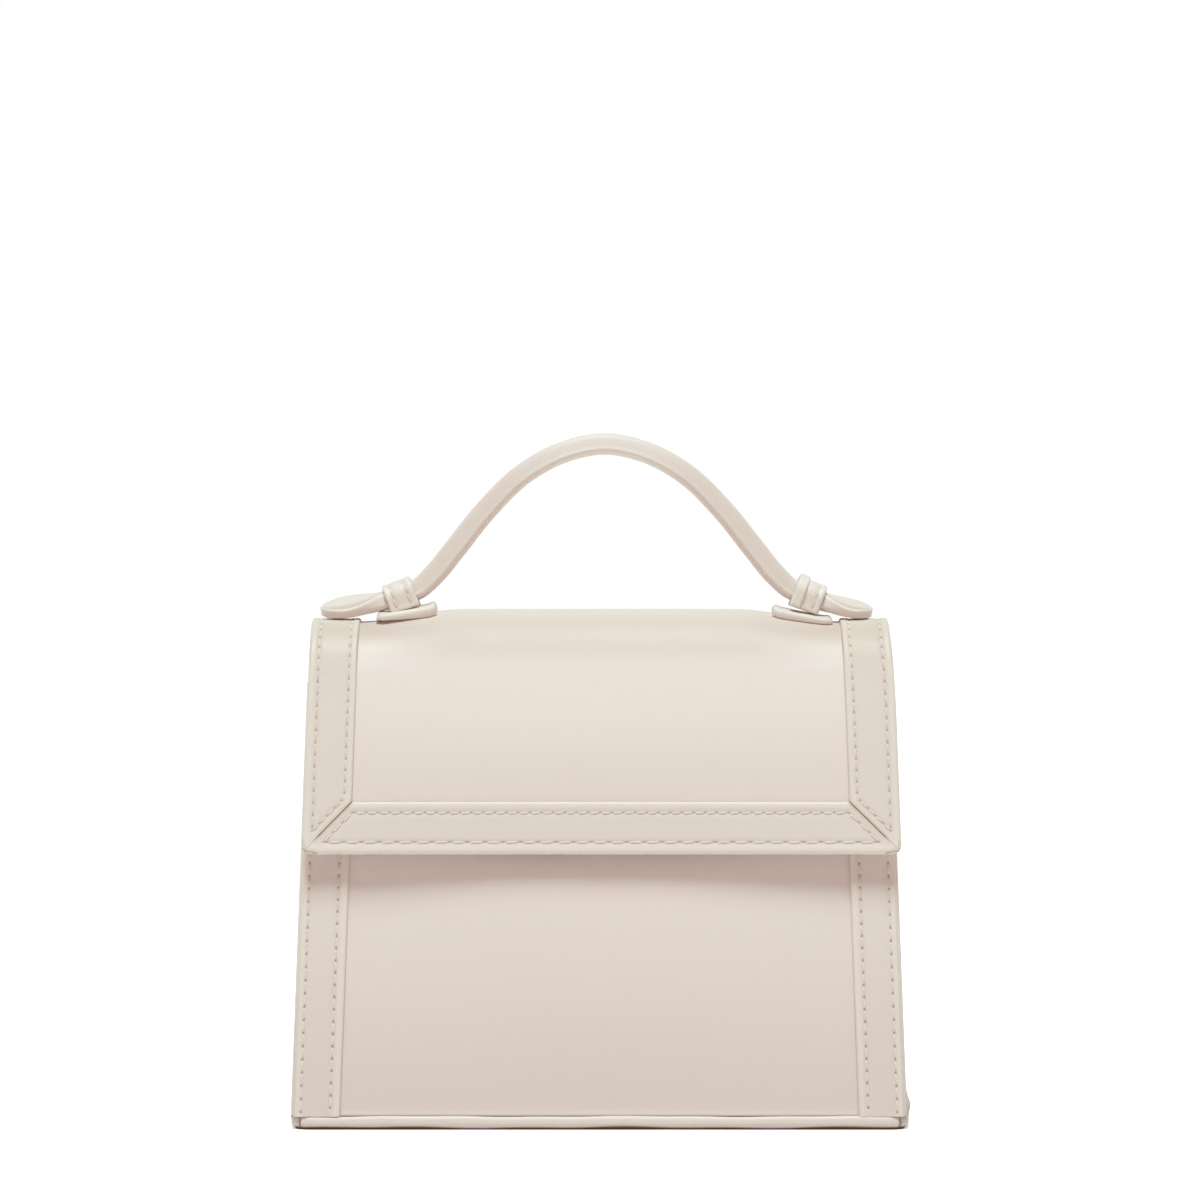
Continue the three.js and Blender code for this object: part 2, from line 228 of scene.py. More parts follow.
class Shader:
    """Node tree of a material or of the world, with one method that makes its nodes."""

    def __init__(self, owner: bpy.types.Material | bpy.types.World) -> None:
        """Start with an empty tree.

        Args:
            owner: Material or world that the tree belongs to.
        """
        owner.use_nodes = True
        self.owner = owner
        self.tree = owner.node_tree
        self.tree.nodes.clear()

    def node(self, kind: str, settings: dict[str, Any], sockets: dict[Any, Any], output: Any = 0) -> Value:
        """Make a node.

        Args:
            kind: Type of the node.
            settings: Its properties, set before its sockets.
            sockets: Values or links of its inputs, by name or number.
            output: Name or number of the output that is handed back.

        Returns:
            The chosen output.
        """
        made = self.tree.nodes.new(kind)
        for name, setting in settings.items():
            setattr(made, name, setting)
        for name, content in sockets.items():
            if isinstance(content, Value):
                self.tree.links.new(content.socket, made.inputs[name])
            else:
                made.inputs[name].default_value = content
        return Value(self, made.outputs[output]) if len(made.outputs) else Value(self, None)

    def math(self, operation: str, *terms: Value | float) -> Value:
        """Math node over its terms."""
        return self.node("ShaderNodeMath", {"operation": operation}, dict(enumerate(terms)))

    def blend(self, share: Value, start: Value | Colour, end: Value | Colour) -> Value:
        """Colour at a share of the way from start to end."""
        return self.node("ShaderNodeMix", {"data_type": "RGBA"}, {0: share, 6: start, 7: end}, 2)

    def tint(self, tint: Tint) -> Value:
        """Value stored at the vertices."""
        return self.node("ShaderNodeAttribute", {"attribute_name": tint.value}, {}, "Fac")

    def seen(self) -> Value:
        """1 where the camera looks straight at a surface, 0 for the light that it gives."""
        return self.node("ShaderNodeLightPath", {}, {}, "Is Camera Ray")

    def place(self) -> Value:
        """Place on the object, in metres."""
        return self.node("ShaderNodeTexCoord", {}, {}, "Object")

    def reach(self, axis: str) -> Value:
        """Place along an axis of the object, in millimetres."""
        return self.node("ShaderNodeSeparateXYZ", {}, {0: self.place()}, axis) * (1 / MM)

    def ramp(self, value: Value, start: float, end: float) -> Value:
        """Smooth rise from 0 where a value is start to 1 where it is end."""
        sockets = {"Value": value, "From Min": start, "From Max": end}
        return self.node("ShaderNodeMapRange", {"interpolation_type": "SMOOTHSTEP"}, sockets)

    def noise(self, size: float, detail: float = 3.0) -> Value:
        """Cloudy noise whose patches are about a size across, in millimetres."""
        sockets = {"Vector": self.place(), "Scale": 1 / (size * MM), "Detail": detail, "Roughness": 0.55}
        return self.node("ShaderNodeTexNoise", {}, sockets)

    def cells(self, size: float) -> Value:
        """Distance from the middles of round cells of a size, in millimetres."""
        sockets = {"Vector": self.place(), "Scale": 1 / (size * MM), "Smoothness": 0.6}
        return self.node("ShaderNodeTexVoronoi", {"feature": "SMOOTH_F1"}, sockets, "Distance")

    def bump(self, height: Value, strength: float, depth: float) -> Value:
        """Normal over a relief of a depth, in millimetres."""
        sockets = {"Height": height, "Strength": strength, "Distance": depth * MM}
        return self.node("ShaderNodeBump", {}, sockets)

    def finish(self, surface: dict[str, Any]) -> bpy.types.Material:
        """Close the tree with a surface.

        Args:
            surface: Values or links of the surface's sockets.

        Returns:
            The finished material.
        """
        shade = self.node("ShaderNodeBsdfPrincipled", {}, surface)
        self.node("ShaderNodeOutputMaterial", {}, {"Surface": shade})
        return self.owner


@dataclass(frozen=True)
class Finish:
    """Finish of a surface: the name of its material and its main colour, as 0xRRGGBB."""

    name: str
    colour: int

    def surface(self, shader: Shader) -> dict[str, Any]:
        """Values or links of the surface's sockets."""
        raise NotImplementedError

    def material(self) -> bpy.types.Material:
        """Build the material."""
        shader = Shader(bpy.data.materials.new(self.name))
        return shader.finish(self.surface(shader))


@dataclass(frozen=True)
class LeatherFinish(Finish):
    """Smooth pale leather with a fine grain, painted shade in its needle holes, grooves and creases, and
    wear with a painted highlight on its edge lips, in millimetres.

    Painted shade darkens the foot, the lower part and the crown, by a share and over a span.
    """

    mottle: int
    # Colour of the painted shade in grooves, creases and rims, and of the handle's warm tone.
    crease: int = 0xC39A84
    # Colour of wear with a painted highlight on edge lips and the welt's top.
    rubbed: int = 0xEBE2D6
    # Colour of the painted shade towards the foot and on the lower part.
    handled: int = 0xCBB7B2
    # Colour of the painted shade on the crown.
    crowned: int = 0xCDB6AA
    # Colour of the painted shade in needle holes, slits, seams and under the welt.
    hole: int = 0x6B4130
    # Shares and spans of the painted shade towards the foot and on the lower part.
    foot: float = 0.4
    foot_span: Span = (75.0, 0.0)
    front: float = 0.12
    front_span: Span = (148.0, 108.0)
    # Share, height, spans and front-only fade of the painted shade on the crown.
    crown: float = 0.85
    crown_at: float = 158.5
    crown_span: Span = (12.5, 0.0)
    crown_back: Span = (14.0, 2.0)
    # Share of wear with a painted highlight on edge lips.
    rub: float = 0.3
    # Share of the painted shade in grooves, creases and rims.
    stain: float = 0.62
    roughness: float = 0.5
    patch_size: float = 38.0
    patch_share: float = 0.5
    patch_rough: float = 0.12
    speck_size: float = 1.6
    speck_share: float = 0.25
    speck_rough: float = 0.1
    cell_size: float = 0.62
    cell_rise: float = 0.65
    wrinkle_size: float = 0.35
    wrinkle_rise: float = 0.35
    swell_size: float = 8.0
    swell_rise: float = 2.2
    grain_depth: float = 0.05
    grain_strength: float = 0.35

    def surface(self, shader: Shader) -> dict[str, Any]:
        """Mix the leather from its place on the bag and its vertex values.

        Args:
            shader: Tree of the material.

        Returns:
            Values or links of the surface's sockets.
        """
        patches = shader.noise(self.patch_size)
        specks = shader.noise(self.speck_size)
        wrinkles = shader.noise(self.wrinkle_size, 2.0)
        height = shader.reach("Z")
        # Painted shade: darker towards the foot, below the crown and on the crown's front.
        foot = shader.ramp(height, *self.foot_span) * self.foot
        front = shader.ramp(height, *self.front_span) * self.front
        crown = shader.ramp(shader.math("ABSOLUTE", height - self.crown_at), *self.crown_span) * self.crown
        crown = crown * shader.ramp(shader.reach("Y"), *self.crown_back)
        cloudy = patches * self.patch_share + specks * self.speck_share
        colour = shader.blend(cloudy, linear(self.colour), linear(self.mottle))
        # Painted shade and highlight laid over the leather's own mottled colour.
        layers = (
            (foot + front, self.handled),
            (crown, self.crowned),
            # Edge lips: wear with a painted highlight.
            (shader.tint(Tint.LIP) * self.rub, self.rubbed),
            # Painted shade in grooves, creases and rims.
            (shader.tint(Tint.GROOVE) * self.stain, self.crease),
            # Painted shade in holes, slits, seams and under the welt.
            (shader.tint(Tint.PIT), self.hole),
        )
        for share, over in layers:
            colour = shader.blend(share, colour, linear(over))
        grain = shader.cells(self.cell_size) * self.cell_rise + wrinkles * self.wrinkle_rise
        grain = grain + shader.noise(self.swell_size, 2.0) * self.swell_rise
        uneven = (patches - 0.5) * self.patch_rough
        return {
            "Base Color": colour,
            "Roughness": self.roughness + uneven + (specks - 0.5) * self.speck_rough,
            "Normal": shader.bump(grain, self.grain_strength, self.grain_depth),
            "Specular IOR Level": 0.42,
            "Sheen Weight": 0.06,
            "Sheen Roughness": 0.45,
        }


@dataclass(frozen=True)
class ThreadFinish(Finish):
    """Matt sewing thread with twisted plies, in millimetres."""

    shade: int
    ply: float = 0.22
    ply_depth: float = 0.08
    ply_strength: float = 0.4
    roughness: float = 0.62
    rough_spread: float = 0.15

    def surface(self, shader: Shader) -> dict[str, Any]:
        """Mix the two tones of the plies.

        Args:
            shader: Tree of the material.

        Returns:
            Values or links of the surface's sockets.
        """
        fibres = shader.noise(self.ply, 2.0)
        return {
            "Base Color": shader.blend(fibres, linear(self.colour), linear(self.shade)),
            "Roughness": self.roughness + fibres * self.rough_spread,
            "Normal": shader.bump(fibres, self.ply_strength, self.ply_depth),
        }


@dataclass(frozen=True)
class MetalFinish(Finish):
    """Plain brushed metal of the hidden closure, in millimetres."""

    brush: float = 0.8
    brush_depth: float = 0.02
    brush_strength: float = 0.2
    roughness: float = 0.34
    rough_spread: float = 0.2

    def surface(self, shader: Shader) -> dict[str, Any]:
        """Brush the metal.

        Args:
            shader: Tree of the material.

        Returns:
            Values or links of the surface's sockets.
        """
        brushed = shader.noise(self.brush, 4.0)
        return {
            "Base Color": linear(self.colour),
            "Metallic": 1.0,
            "Roughness": self.roughness + (brushed - 0.5) * self.rough_spread,
            "Normal": shader.bump(brushed, self.brush_strength, self.brush_depth),
        }


@dataclass(frozen=True)
class PaperFinish(Finish):
    """Matt paper of the studio floor, lifted to white where it is seen."""

    lift: float
    fibre: float = 3.0
    roughness: float = 0.8
    rough_spread: float = 0.1

    def surface(self, shader: Shader) -> dict[str, Any]:
        """Lay the paper's fibres and its lift.

        Args:
            shader: Tree of the material.

        Returns:
            Values or links of the surface's sockets.
        """
        return {
            "Base Color": linear(self.colour),
            "Roughness": self.roughness + shader.noise(self.fibre) * self.rough_spread,
            "Specular IOR Level": 0.1,
            "Emission Color": shader.blend(shader.seen(), BLACK, WHITE),
            "Emission Strength": self.lift,
        }


@dataclass
class Wardrobe:
    """Materials of the bag, one for each slot."""

    finishes: dict[Slot, Finish] = field(default_factory=lambda: {
        # The panel takes stronger painted shade on its crown and lower part than the trim.
        Slot.PANEL: LeatherFinish(
            "panel_leather", 0xEDE0D9, 0xE9DBD4, crowned=0xD0BAB0, crown=0.97, crown_at=161.2, front=0.27
        ),
        Slot.TRIM: LeatherFinish("trim_leather", 0xE4D7CF, 0xE0D1C9),
        Slot.SIDE: LeatherFinish("side_leather", 0xDCCFC6, 0xD8CAC0, roughness=0.54),
        Slot.THREAD: ThreadFinish("sewing_thread", 0xE6DAD0, 0xDACBC0),
        Slot.METAL: MetalFinish("closure_metal", 0xB9B4AC),
    })

    def __post_init__(self) -> None:
        """Build every material once."""
        self.materials = {slot: finish.material() for slot, finish in self.finishes.items()}

    def dress(self, piece: bpy.types.Object, slot: Slot, nodes: Sequence[str] = ()) -> bpy.types.Object:
        """Give a piece its finish and its place in the frame.

        Args:
            piece: Object to dress.
            slot: Slot of its finish.
            nodes: Nodes of the frame that it stands for.

        Returns:
            The piece.
        """
        piece.data.materials.clear()
        piece.data.materials.append(self.materials[slot])
        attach(piece, "root")
        if nodes:
            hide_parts(*nodes)
        LOG.info("%s: %d faces, %s", piece.name, len(piece.data.polygons), slot.value)
        return piece

    def redress(self, node: str, slot: Slot) -> None:
        """Give a node of the frame a finish and keep its shape.

        Args:
            node: Name of the node.
            slot: Slot of its finish.
        """
        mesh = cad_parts[node].data
        mesh.materials.clear()
        mesh.materials.append(self.materials[slot])
        LOG.info("%s: kept, %s", node, slot.value)


class Skin:
    """Mesh that is still being put together, in millimetres."""

    def __init__(self) -> None:
        """Start with nothing."""
        self.points: list[Grid] = []
        self.faces: list[Grid] = []
        self.tints: dict[Tint, list[Grid]] = {tint: [] for tint in Tint}
        self.count = 0

    def add(self, points: Grid, faces: Sequence[Grid], tints: dict[Tint, Grid] | None = None) -> None:
        """Add points and the faces between them.

        Args:
            points: Points, one in each row.
            faces: Arrays of corner numbers, one face in each row, counted from these points.
            tints: Vertex values, where they aren't 0.
        """
        given = tints or {}
        self.points.append(points)
        self.faces.extend(corners + self.count for corners in faces)
        for tint, values in self.tints.items():
            values.append(given.get(tint, np.zeros(len(points))))
        self.count += len(points)

    def tube(self, sections: Grid, closed: bool = False, tints: dict[Tint, Grid] | None = None) -> None:
        """Add a skin over a row of closed sections.

        Args:
            sections: Points by section, place round it and axis.
            closed: Whether the last section meets the first; otherwise both ends are capped.
            tints: Vertex values by section and place round it, where they aren't 0.
        """
        rows, places, _ = sections.shape
        ids = np.arange(rows * places).reshape(rows, places)
        ring = np.concatenate([ids, ids[:, :1]], axis=1)
        if closed:
            ring = np.concatenate([ring, ring[:1]])
        caps = [] if closed else [ids[:1, ::-1], ids[-1:]]
        values = {tint: value.ravel() for tint, value in (tints or {}).items()}
        self.add(sections.reshape(-1, 3), [weave(ring), *caps], values)

    def piece(self, name: str, solid: bool = True) -> bpy.types.Object:
        """Make the object.

        Args:
            name: Name of the piece.
            solid: Whether the mesh is closed, so that its faces are turned outwards.

        Returns:
            A smooth mesh object, in metres.
        """
        mesh = bpy.data.meshes.new(name)
        points = np.concatenate(self.points) * MM
        corners = np.concatenate([corners.ravel() for corners in self.faces])
        totals = np.concatenate([np.full(len(corners), corners.shape[1]) for corners in self.faces])
        mesh.vertices.add(len(points))
        mesh.vertices.foreach_set("co", points.ravel())
        mesh.loops.add(len(corners))
        mesh.loops.foreach_set("vertex_index", corners)
        mesh.polygons.add(len(totals))
        mesh.polygons.foreach_set("loop_start", np.cumsum(totals) - totals)
        mesh.polygons.foreach_set("loop_total", totals)
        mesh.polygons.foreach_set("use_smooth", np.ones(len(totals), dtype=bool))
        mesh.update(calc_edges=True)
        for tint, values in self.tints.items():
            layer = mesh.attributes.new(tint.value, "FLOAT", "POINT")
            layer.data.foreach_set("value", np.concatenate(values).astype(np.float32))
        if solid:
            work = bmesh.new()
            work.from_mesh(mesh)
            bmesh.ops.recalc_face_normals(work, faces=work.faces)
            work.to_mesh(mesh)
            work.free()
        made = bpy.data.objects.new(name, mesh)
        bpy.context.scene.collection.objects.link(made)
        return made


class Form(Protocol):
    """Shape that leather is laid on."""

    def place(self, across: Grid, along: Grid, out: Grid) -> Grid:
        """Points at flat places and heights over the form."""


@dataclass(frozen=True)
class Wave:
    """Shallow wave in leather: its height, its spacings along two flat axes, and its start."""

    height: float
    first: float
    second: float = math.inf
    start: float = 0.0

    def at(self, first: Grid, second: Grid) -> Grid:
        """Heights at flat places."""
        return self.height * np.sin(first / self.first + second / self.second + self.start)


@dataclass(frozen=True)
class BodySizes:
    """Driving sizes of the hollow body, in millimetres."""

    base_width: float = 200.0
    top_width: float = 190.4
    base_depth: float = 80.0
    mouth_depth: float = 34.0
    front_height: float = 145.0
    back_height: float = 148.0
    gusset_height: float = 142.0
    crown_height: float = 164.9
    wall_foot: float = 4.2
    pillow: float = 0.8
    panel: float = 1.6
    trim: float = 1.3
    gusset: float = 1.4
    gap: float = 0.3
    band_seat: float = 0.1
    band_thick: float = 1.05
    ease_left: float = 0.7
    ease_span: Span = (70.0, 95.0)

    @property
    def slope(self) -> float:
        """Way that a wall leans in for each millimetre of height."""
        return (self.base_depth - self.mouth_depth) / 2 / (self.front_height - self.wall_foot)

    @property
    def lean(self) -> float:
        """Angle of the walls from upright."""
        return math.atan(self.slope)

    def half_width(self, height: Any) -> Any:
        """Half width of the body at a height."""
        return lerp(self.base_width, self.top_width, height / self.crown_height) / 2

    def wall_depth(self, height: Any) -> Any:
        """Distance of a wall's outer face from the middle plane at a height."""
        return self.base_depth / 2 - self.slope * (height - self.wall_foot)


@dataclass(frozen=True)
class WallForm:
    """Outer face of the front or back wall, laid out by width and height, with a dome below the flap."""

    sizes: BodySizes
    facing: Facing
    swell_top: float
    dome: float = 0.0
    dome_span: Span = (12.0, 82.0)
    dome_height: float = 82.0
    dome_top: float = 95.0
    waves: tuple[Wave, Wave] = (Wave(0.16, 23.0, start=0.8), Wave(1.0, 60.0, 17.0))

    def place(self, across: Grid, along: Grid, out: Grid) -> Grid:
        """Points over the wall.

        Args:
            across: Places across the wall.
            along: Heights.
            out: Heights over the wall's face.

        Returns:
            Points, with the axes last.
        """
        sizes = self.sizes
        share = np.clip(np.abs(across) / sizes.half_width(along), 0, 1)
        rise = np.clip((along - sizes.wall_foot) / (self.swell_top - sizes.wall_foot), 0, 1)
        swell = (1 - share**4) * np.sin(np.pi * rise)
        ripple = self.waves[0].at(across, along) * self.waves[1].at(across, along)
        dome = self.dome * (1 - smooth(np.abs(across), *self.dome_span))
        dome = dome * smooth(along, sizes.wall_foot, self.dome_height)
        dome = dome * smooth(-along, -self.dome_top, -self.dome_height)
        depth = sizes.wall_depth(along) + swell * (sizes.pillow + ripple) + dome + out
        ease = sizes.ease_left * smooth(-across, *sizes.ease_span)
        return np.stack([across - ease + 0 * along, self.facing.value * depth, along + 0 * across], axis=-1)


@dataclass
class FlapForm:
    """Outer face of the flap, laid out by width and by the run up from its front edge."""

    sizes: BodySizes
    edge_height: float = 89.2
    seam_height: float = 118.0
    ease: float = 3.5
    pillow: float = 0.8
    lift: float = 4.1
    lift_span: Span = (44.0, 80.0)
    lift_reach: float = 45.0
    ease_right: float = 1.0
    ease_below: float = 14.0
    waves: tuple[Wave, Wave] = (Wave(0.14, 27.0, start=2.0), Wave(1.0, 70.0, 19.0))

    def __post_init__(self) -> None:
        """Work out the side profile: straight runs that lean with the walls, joined by a round crown."""
        sizes = self.sizes
        lean = sizes.lean
        out_front = sizes.gap + sizes.trim + self.ease + sizes.panel
        out_back = sizes.gap + sizes.panel
        room = sizes.wall_depth(sizes.crown_height) * math.cos(lean)
        self.crown_y = (out_back - out_front) / 2 / math.cos(lean)
        self.radius = (room + (out_front + out_back) / 2) / (1 - math.sin(lean))
        self.crown_z = sizes.crown_height - self.radius
        shoulder = self.crown_z + self.radius * math.sin(lean)
        self.front_run = (shoulder - self.edge_height) / math.cos(lean)
        self.crown_run = self.radius * (math.pi - 2 * lean)
        self.apex = self.front_run + self.crown_run / 2
        self.whole_run = self.front_run + self.crown_run + (shoulder - self.seam_height) / math.cos(lean)

    def profile(self, run: Grid) -> tuple[Grid, Grid, Grid]:
        """Side profile of the flap.

        Args:
            run: Runs up from the front edge.

        Returns:
            Depth, height and slope at each run.
        """
        on_crown = np.clip(run, self.front_run, self.front_run + self.crown_run)
        turn = self.sizes.lean + (on_crown - self.front_run) / self.radius
        past = run - on_crown
        depth = self.crown_y - self.radius * np.cos(turn) + past * np.sin(turn)
        height = self.crown_z + self.radius * np.sin(turn) + past * np.cos(turn)
        return depth, height, turn

    def half_width(self, run: Grid) -> Grid:
        """Half width of the flap at a run."""
        return self.sizes.half_width(self.profile(run)[1])

    def place(self, across: Grid, along: Grid, out: Grid) -> Grid:
        """Points over the flap.

        Args:
            across: Places across the flap.
            along: Runs up from its front edge.
            out: Heights over its face.

        Returns:
            Points, with the axes last.
        """
        depth, height, turn = self.profile(along)
        near = np.clip(np.abs(along - self.apex) / self.lift_reach, 0, 1)
        lift = self.lift * (1 - smooth(np.abs(across), *self.lift_span))
        lift = lift * (1 + np.cos(np.pi * near)) / 2
        bulge = 1 - (across / self.sizes.half_width(height)) ** 4
        swell = bulge * np.sin(np.pi * np.minimum(along / self.front_run, 1))
        ripple = self.waves[0].at(across, along) * self.waves[1].at(across, along)
        reach = out + swell * (self.pillow + ripple)
        ease = self.ease_right * smooth(across, *self.sizes.ease_span)
        ease = ease * (1 - smooth(along, self.front_run - self.ease_below, self.apex))
        points = (across + ease, depth - np.cos(turn) * reach, height + np.sin(turn) * reach + lift)
        return np.stack(np.broadcast_arrays(*points), axis=-1)


@dataclass(frozen=True)
class LoopForm:
    """Inner face of a strap that arches over the handle, laid out by width and by length along it."""

    centre: Place
    tilt: float
    half_wide: float
    half_thick: float
    leg: float
    steps: int = 61

    @property
    def path(self) -> Grid:
        """Path of the strap.

        Returns:
            Depth and height along it, in small steps.
        """
        turn = np.linspace(math.pi, 0, self.steps)
        arch = np.stack([self.half_wide * np.cos(turn), self.half_thick * np.sin(turn)], axis=1)
        return np.concatenate([[[-self.half_wide, -self.leg]], arch, [[self.half_wide, -self.leg]]])

    @property
    def length(self) -> float:
        """Length of the strap."""
        return float(passed(self.path)[-1])

    def place(self, across: Grid, along: Grid, out: Grid) -> Grid:
        """Points over the strap's inner face.

        Args:
            across: Places across the strap's width.
            along: Lengths along it.
            out: Heights over its inner face.

        Returns:
            Points, with the axes last.
        """
        path = self.path
        runs = passed(path)
        slopes = np.gradient(path, runs, axis=0)
        depth, rise, ahead, up = (np.interp(along, runs, line) for line in (*path.T, *slopes.T))
        size = np.hypot(ahead, up)
        depth = depth - out * up / size
        rise = rise + out * ahead / size
        x = across * math.cos(self.tilt) + rise * math.sin(self.tilt)
        z = rise * math.cos(self.tilt) - across * math.sin(self.tilt)
        return np.stack(np.broadcast_arrays(x, depth, z), axis=-1) + np.array(self.centre)


@dataclass(frozen=True)
class RaisedForm:
    """Form with one end raised, laid out as the form below it."""

    below: Form
    start: float
    end: float
    rise: float

    def place(self, across: Grid, along: Grid, out: Grid) -> Grid:
        """Points over the raised form."""
        raised = out + self.rise * smooth(np.abs(across), self.start, self.end)
        return self.below.place(across, along, raised)


@dataclass(frozen=True)
class EdgeShape:
    """Relief of a turned and stitched edge, in millimetres, and the shares of the shade painted in its
    holes, grooves, rim and slit.
    """

    round: float = 0.8
    least: float = 0.01
    bead: float = 0.16
    bead_at: float = 1.5
    bead_width: float = 1.1
    groove: float = 0.16
    groove_width: float = 0.9
    # Share of painted shade in the stitch grooves.
    groove_stain: float = 0.15
    pit: float = 0.4
    pit_width: float = 0.3
    # Share of painted shade in each needle hole.
    pit_tint: float = 0.72
    rim_span: Span = (0.1, 0.6)
    # Shares of painted shade along the rim, as dark pit and as crease colour.
    rim_pit: float = 0.0
    rim_stain: float = 0.22
    slit: float = 0.24
    slit_core: float = 0.2
    slit_floor: float = 0.35
    slit_span: Span = (2.5, 6.0)
    # Share of painted shade in the mitre slit.
    slit_pit: float = 0.45
    # Width and share of the painted shade in a halo round the mitre slit.
    halo: float = 1.2
    halo_stain: float = 0.7


@dataclass(frozen=True)
class StitchRow:
    """Row of stitches along a flat line."""

    line: Grid
    pitch: float
    hole: float

    @property
    def count(self) -> int:
        """Number of stitches."""
        return max(1, round(passed(self.line)[-1] / self.pitch))

    @property
    def step(self) -> float:
        """Length from hole to hole."""
        return float(passed(self.line)[-1]) / self.count

    def at(self, length: Grid) -> Grid:
        """Flat points at lengths along the row."""
        return np.stack([np.interp(length, passed(self.line), axis) for axis in self.line.T], axis=-1)


@dataclass
class Leather:
    """Piece of leather with turned edges, cut flat and laid on a form, with a fine grid near its edges."""

    form: Form
    cut: Cut
    length: float
    width: float
    seat: float
    thick: float
    shape: EdgeShape = field(default_factory=EdgeShape)
    taper: Callable[[Grid], Grid] | None = None
    margin: float = 4.6
    fine: float = 0.2
    step: float = 0.36
    most_columns: int = 80
    inner_columns: int = 2
    border_steps: int = 41
    sew_steps: tuple[int, int] = (201, 101)
    mitred: tuple[Edge, ...] = ()
    raw: tuple[Edge, ...] = ()
    # Edge along which the rim's painted shade lies.
    rim: Edge = Edge.HIGH
    rows: list[StitchRow] = field(default_factory=list)

    def flat(self, along: Grid, across: Grid) -> Grid:
        """Flat points at shares along and across the piece."""
        return np.stack(np.broadcast_arrays(*self.cut(along, across)), axis=-1)

    def border(self, edge: Edge) -> Grid:
        """Flat line of one edge.

        Args:
            edge: Which edge.

        Returns:
            Corners of the line.
        """
        shares = np.linspace(0, 1, self.border_steps)
        lines = {
            Edge.LOW: (shares, 0 * shares),
            Edge.HIGH: (shares, 0 * shares + 1),
            Edge.START: (0 * shares, shares),
            Edge.END: (0 * shares + 1, shares),
        }
        return self.flat(*lines[edge])

    def sew(self, edge: Edge, inset: float, pitch: float, ends: Span, hole: float = 0.9) -> None:
        """Add a row of stitches along an edge.

        Args:
            edge: Edge that the row follows.
            inset: Distance of the row from the edge.
            pitch: Length of a stitch.
            ends: Distances that the row keeps from the edges that it meets, first and last.
            hole: Length of each needle hole.
        """
        lengthwise = edge in (Edge.LOW, Edge.HIGH)
        shares = np.linspace(0, 1, self.sew_steps[0])
        inside = np.linspace(0, 0.5, self.sew_steps[1])
        if edge in (Edge.HIGH, Edge.END):
            inside = 1 - inside
        mesh = np.meshgrid(shares, inside, indexing="ij")
        spread = self.flat(*(mesh if lengthwise else mesh[::-1]))
        gaps = along_line(spread.reshape(-1, 2), self.border(edge))[0].reshape(spread.shape[:2])
        picks = np.array([np.interp(inset, gap, np.arange(len(gap))) for gap in gaps])
        low = np.floor(picks).astype(int)
        numbers = np.arange(len(shares))
        high = np.minimum(low + 1, len(inside) - 1)
        line = lerp(spread[numbers, low], spread[numbers, high], (picks - low)[:, None])
        first, last = (Edge.START, Edge.END) if lengthwise else (Edge.LOW, Edge.HIGH)
        keep = along_line(line, self.border(first))[0] >= ends[0]
        keep &= along_line(line, self.border(last))[0] >= ends[1]
        self.rows.append(StitchRow(line[keep], pitch, hole))

    def relief(self, flat: Grid) -> tuple[Grid, dict[Tint, Grid]]:
        """Height of the outer face over the inner one.

        Args:
            flat: Flat points, one in each row.

        Returns:
            Heights without the needle holes, and the vertex values.
        """
        shape = self.shape
        gaps = {edge: along_line(flat, self.border(edge))[0] for edge in Edge}
        gap = np.min([gaps[edge] for edge in Edge if edge not in self.mitred + self.raw], axis=0)
        mitre = np.min([gaps[edge] for edge in self.mitred] + [np.full(len(flat), np.inf)], axis=0)
        open_slit = smooth(gaps[Edge.LOW], *shape.slit_span)
        near = np.minimum(gap / shape.round, shape.slit_floor + mitre / shape.slit + 1 - open_slit)
        turned = np.sqrt(np.clip(1 - (1 - np.clip(near, 0, 1)) ** 2, shape.least, 1))
        bead = bell(gap - shape.bead_at, shape.bead_width)
        rim = 1 - smooth(gaps[self.rim], *shape.rim_span)
        slit = open_slit * (1 - smooth(mitre, shape.slit_core * shape.slit, shape.slit))
        halo = open_slit * (1 - smooth(mitre, 0, shape.halo))
        groove = np.zeros(len(flat))
        # Painted shade in the mitre slit, along the rim and, in the loop below, in each needle hole.
        pit = np.maximum(shape.slit_pit * slit, shape.rim_pit * rim)
        for row in self.rows:
            aside, place = along_line(flat, row.line)
            ahead = place - np.round(place / row.step) * row.step
            groove = np.maximum(groove, bell(aside, shape.groove_width))
            pit = np.maximum(pit, shape.pit_tint * bell(aside, shape.pit_width) * bell(ahead, row.hole / 2))
        height = self.thick * turned - shape.bead * (1 - bead) * turned - shape.groove * groove
        # Painted shade along the rim, in the stitch grooves and round the mitre slit; the bead's lip takes
        # wear with a painted highlight.
        stain = [shape.rim_stain * rim, shape.groove_stain * groove, shape.halo_stain * halo]
        return height, {Tint.PIT: pit, Tint.LIP: bead, Tint.GROOVE: np.max(stain, axis=0)}

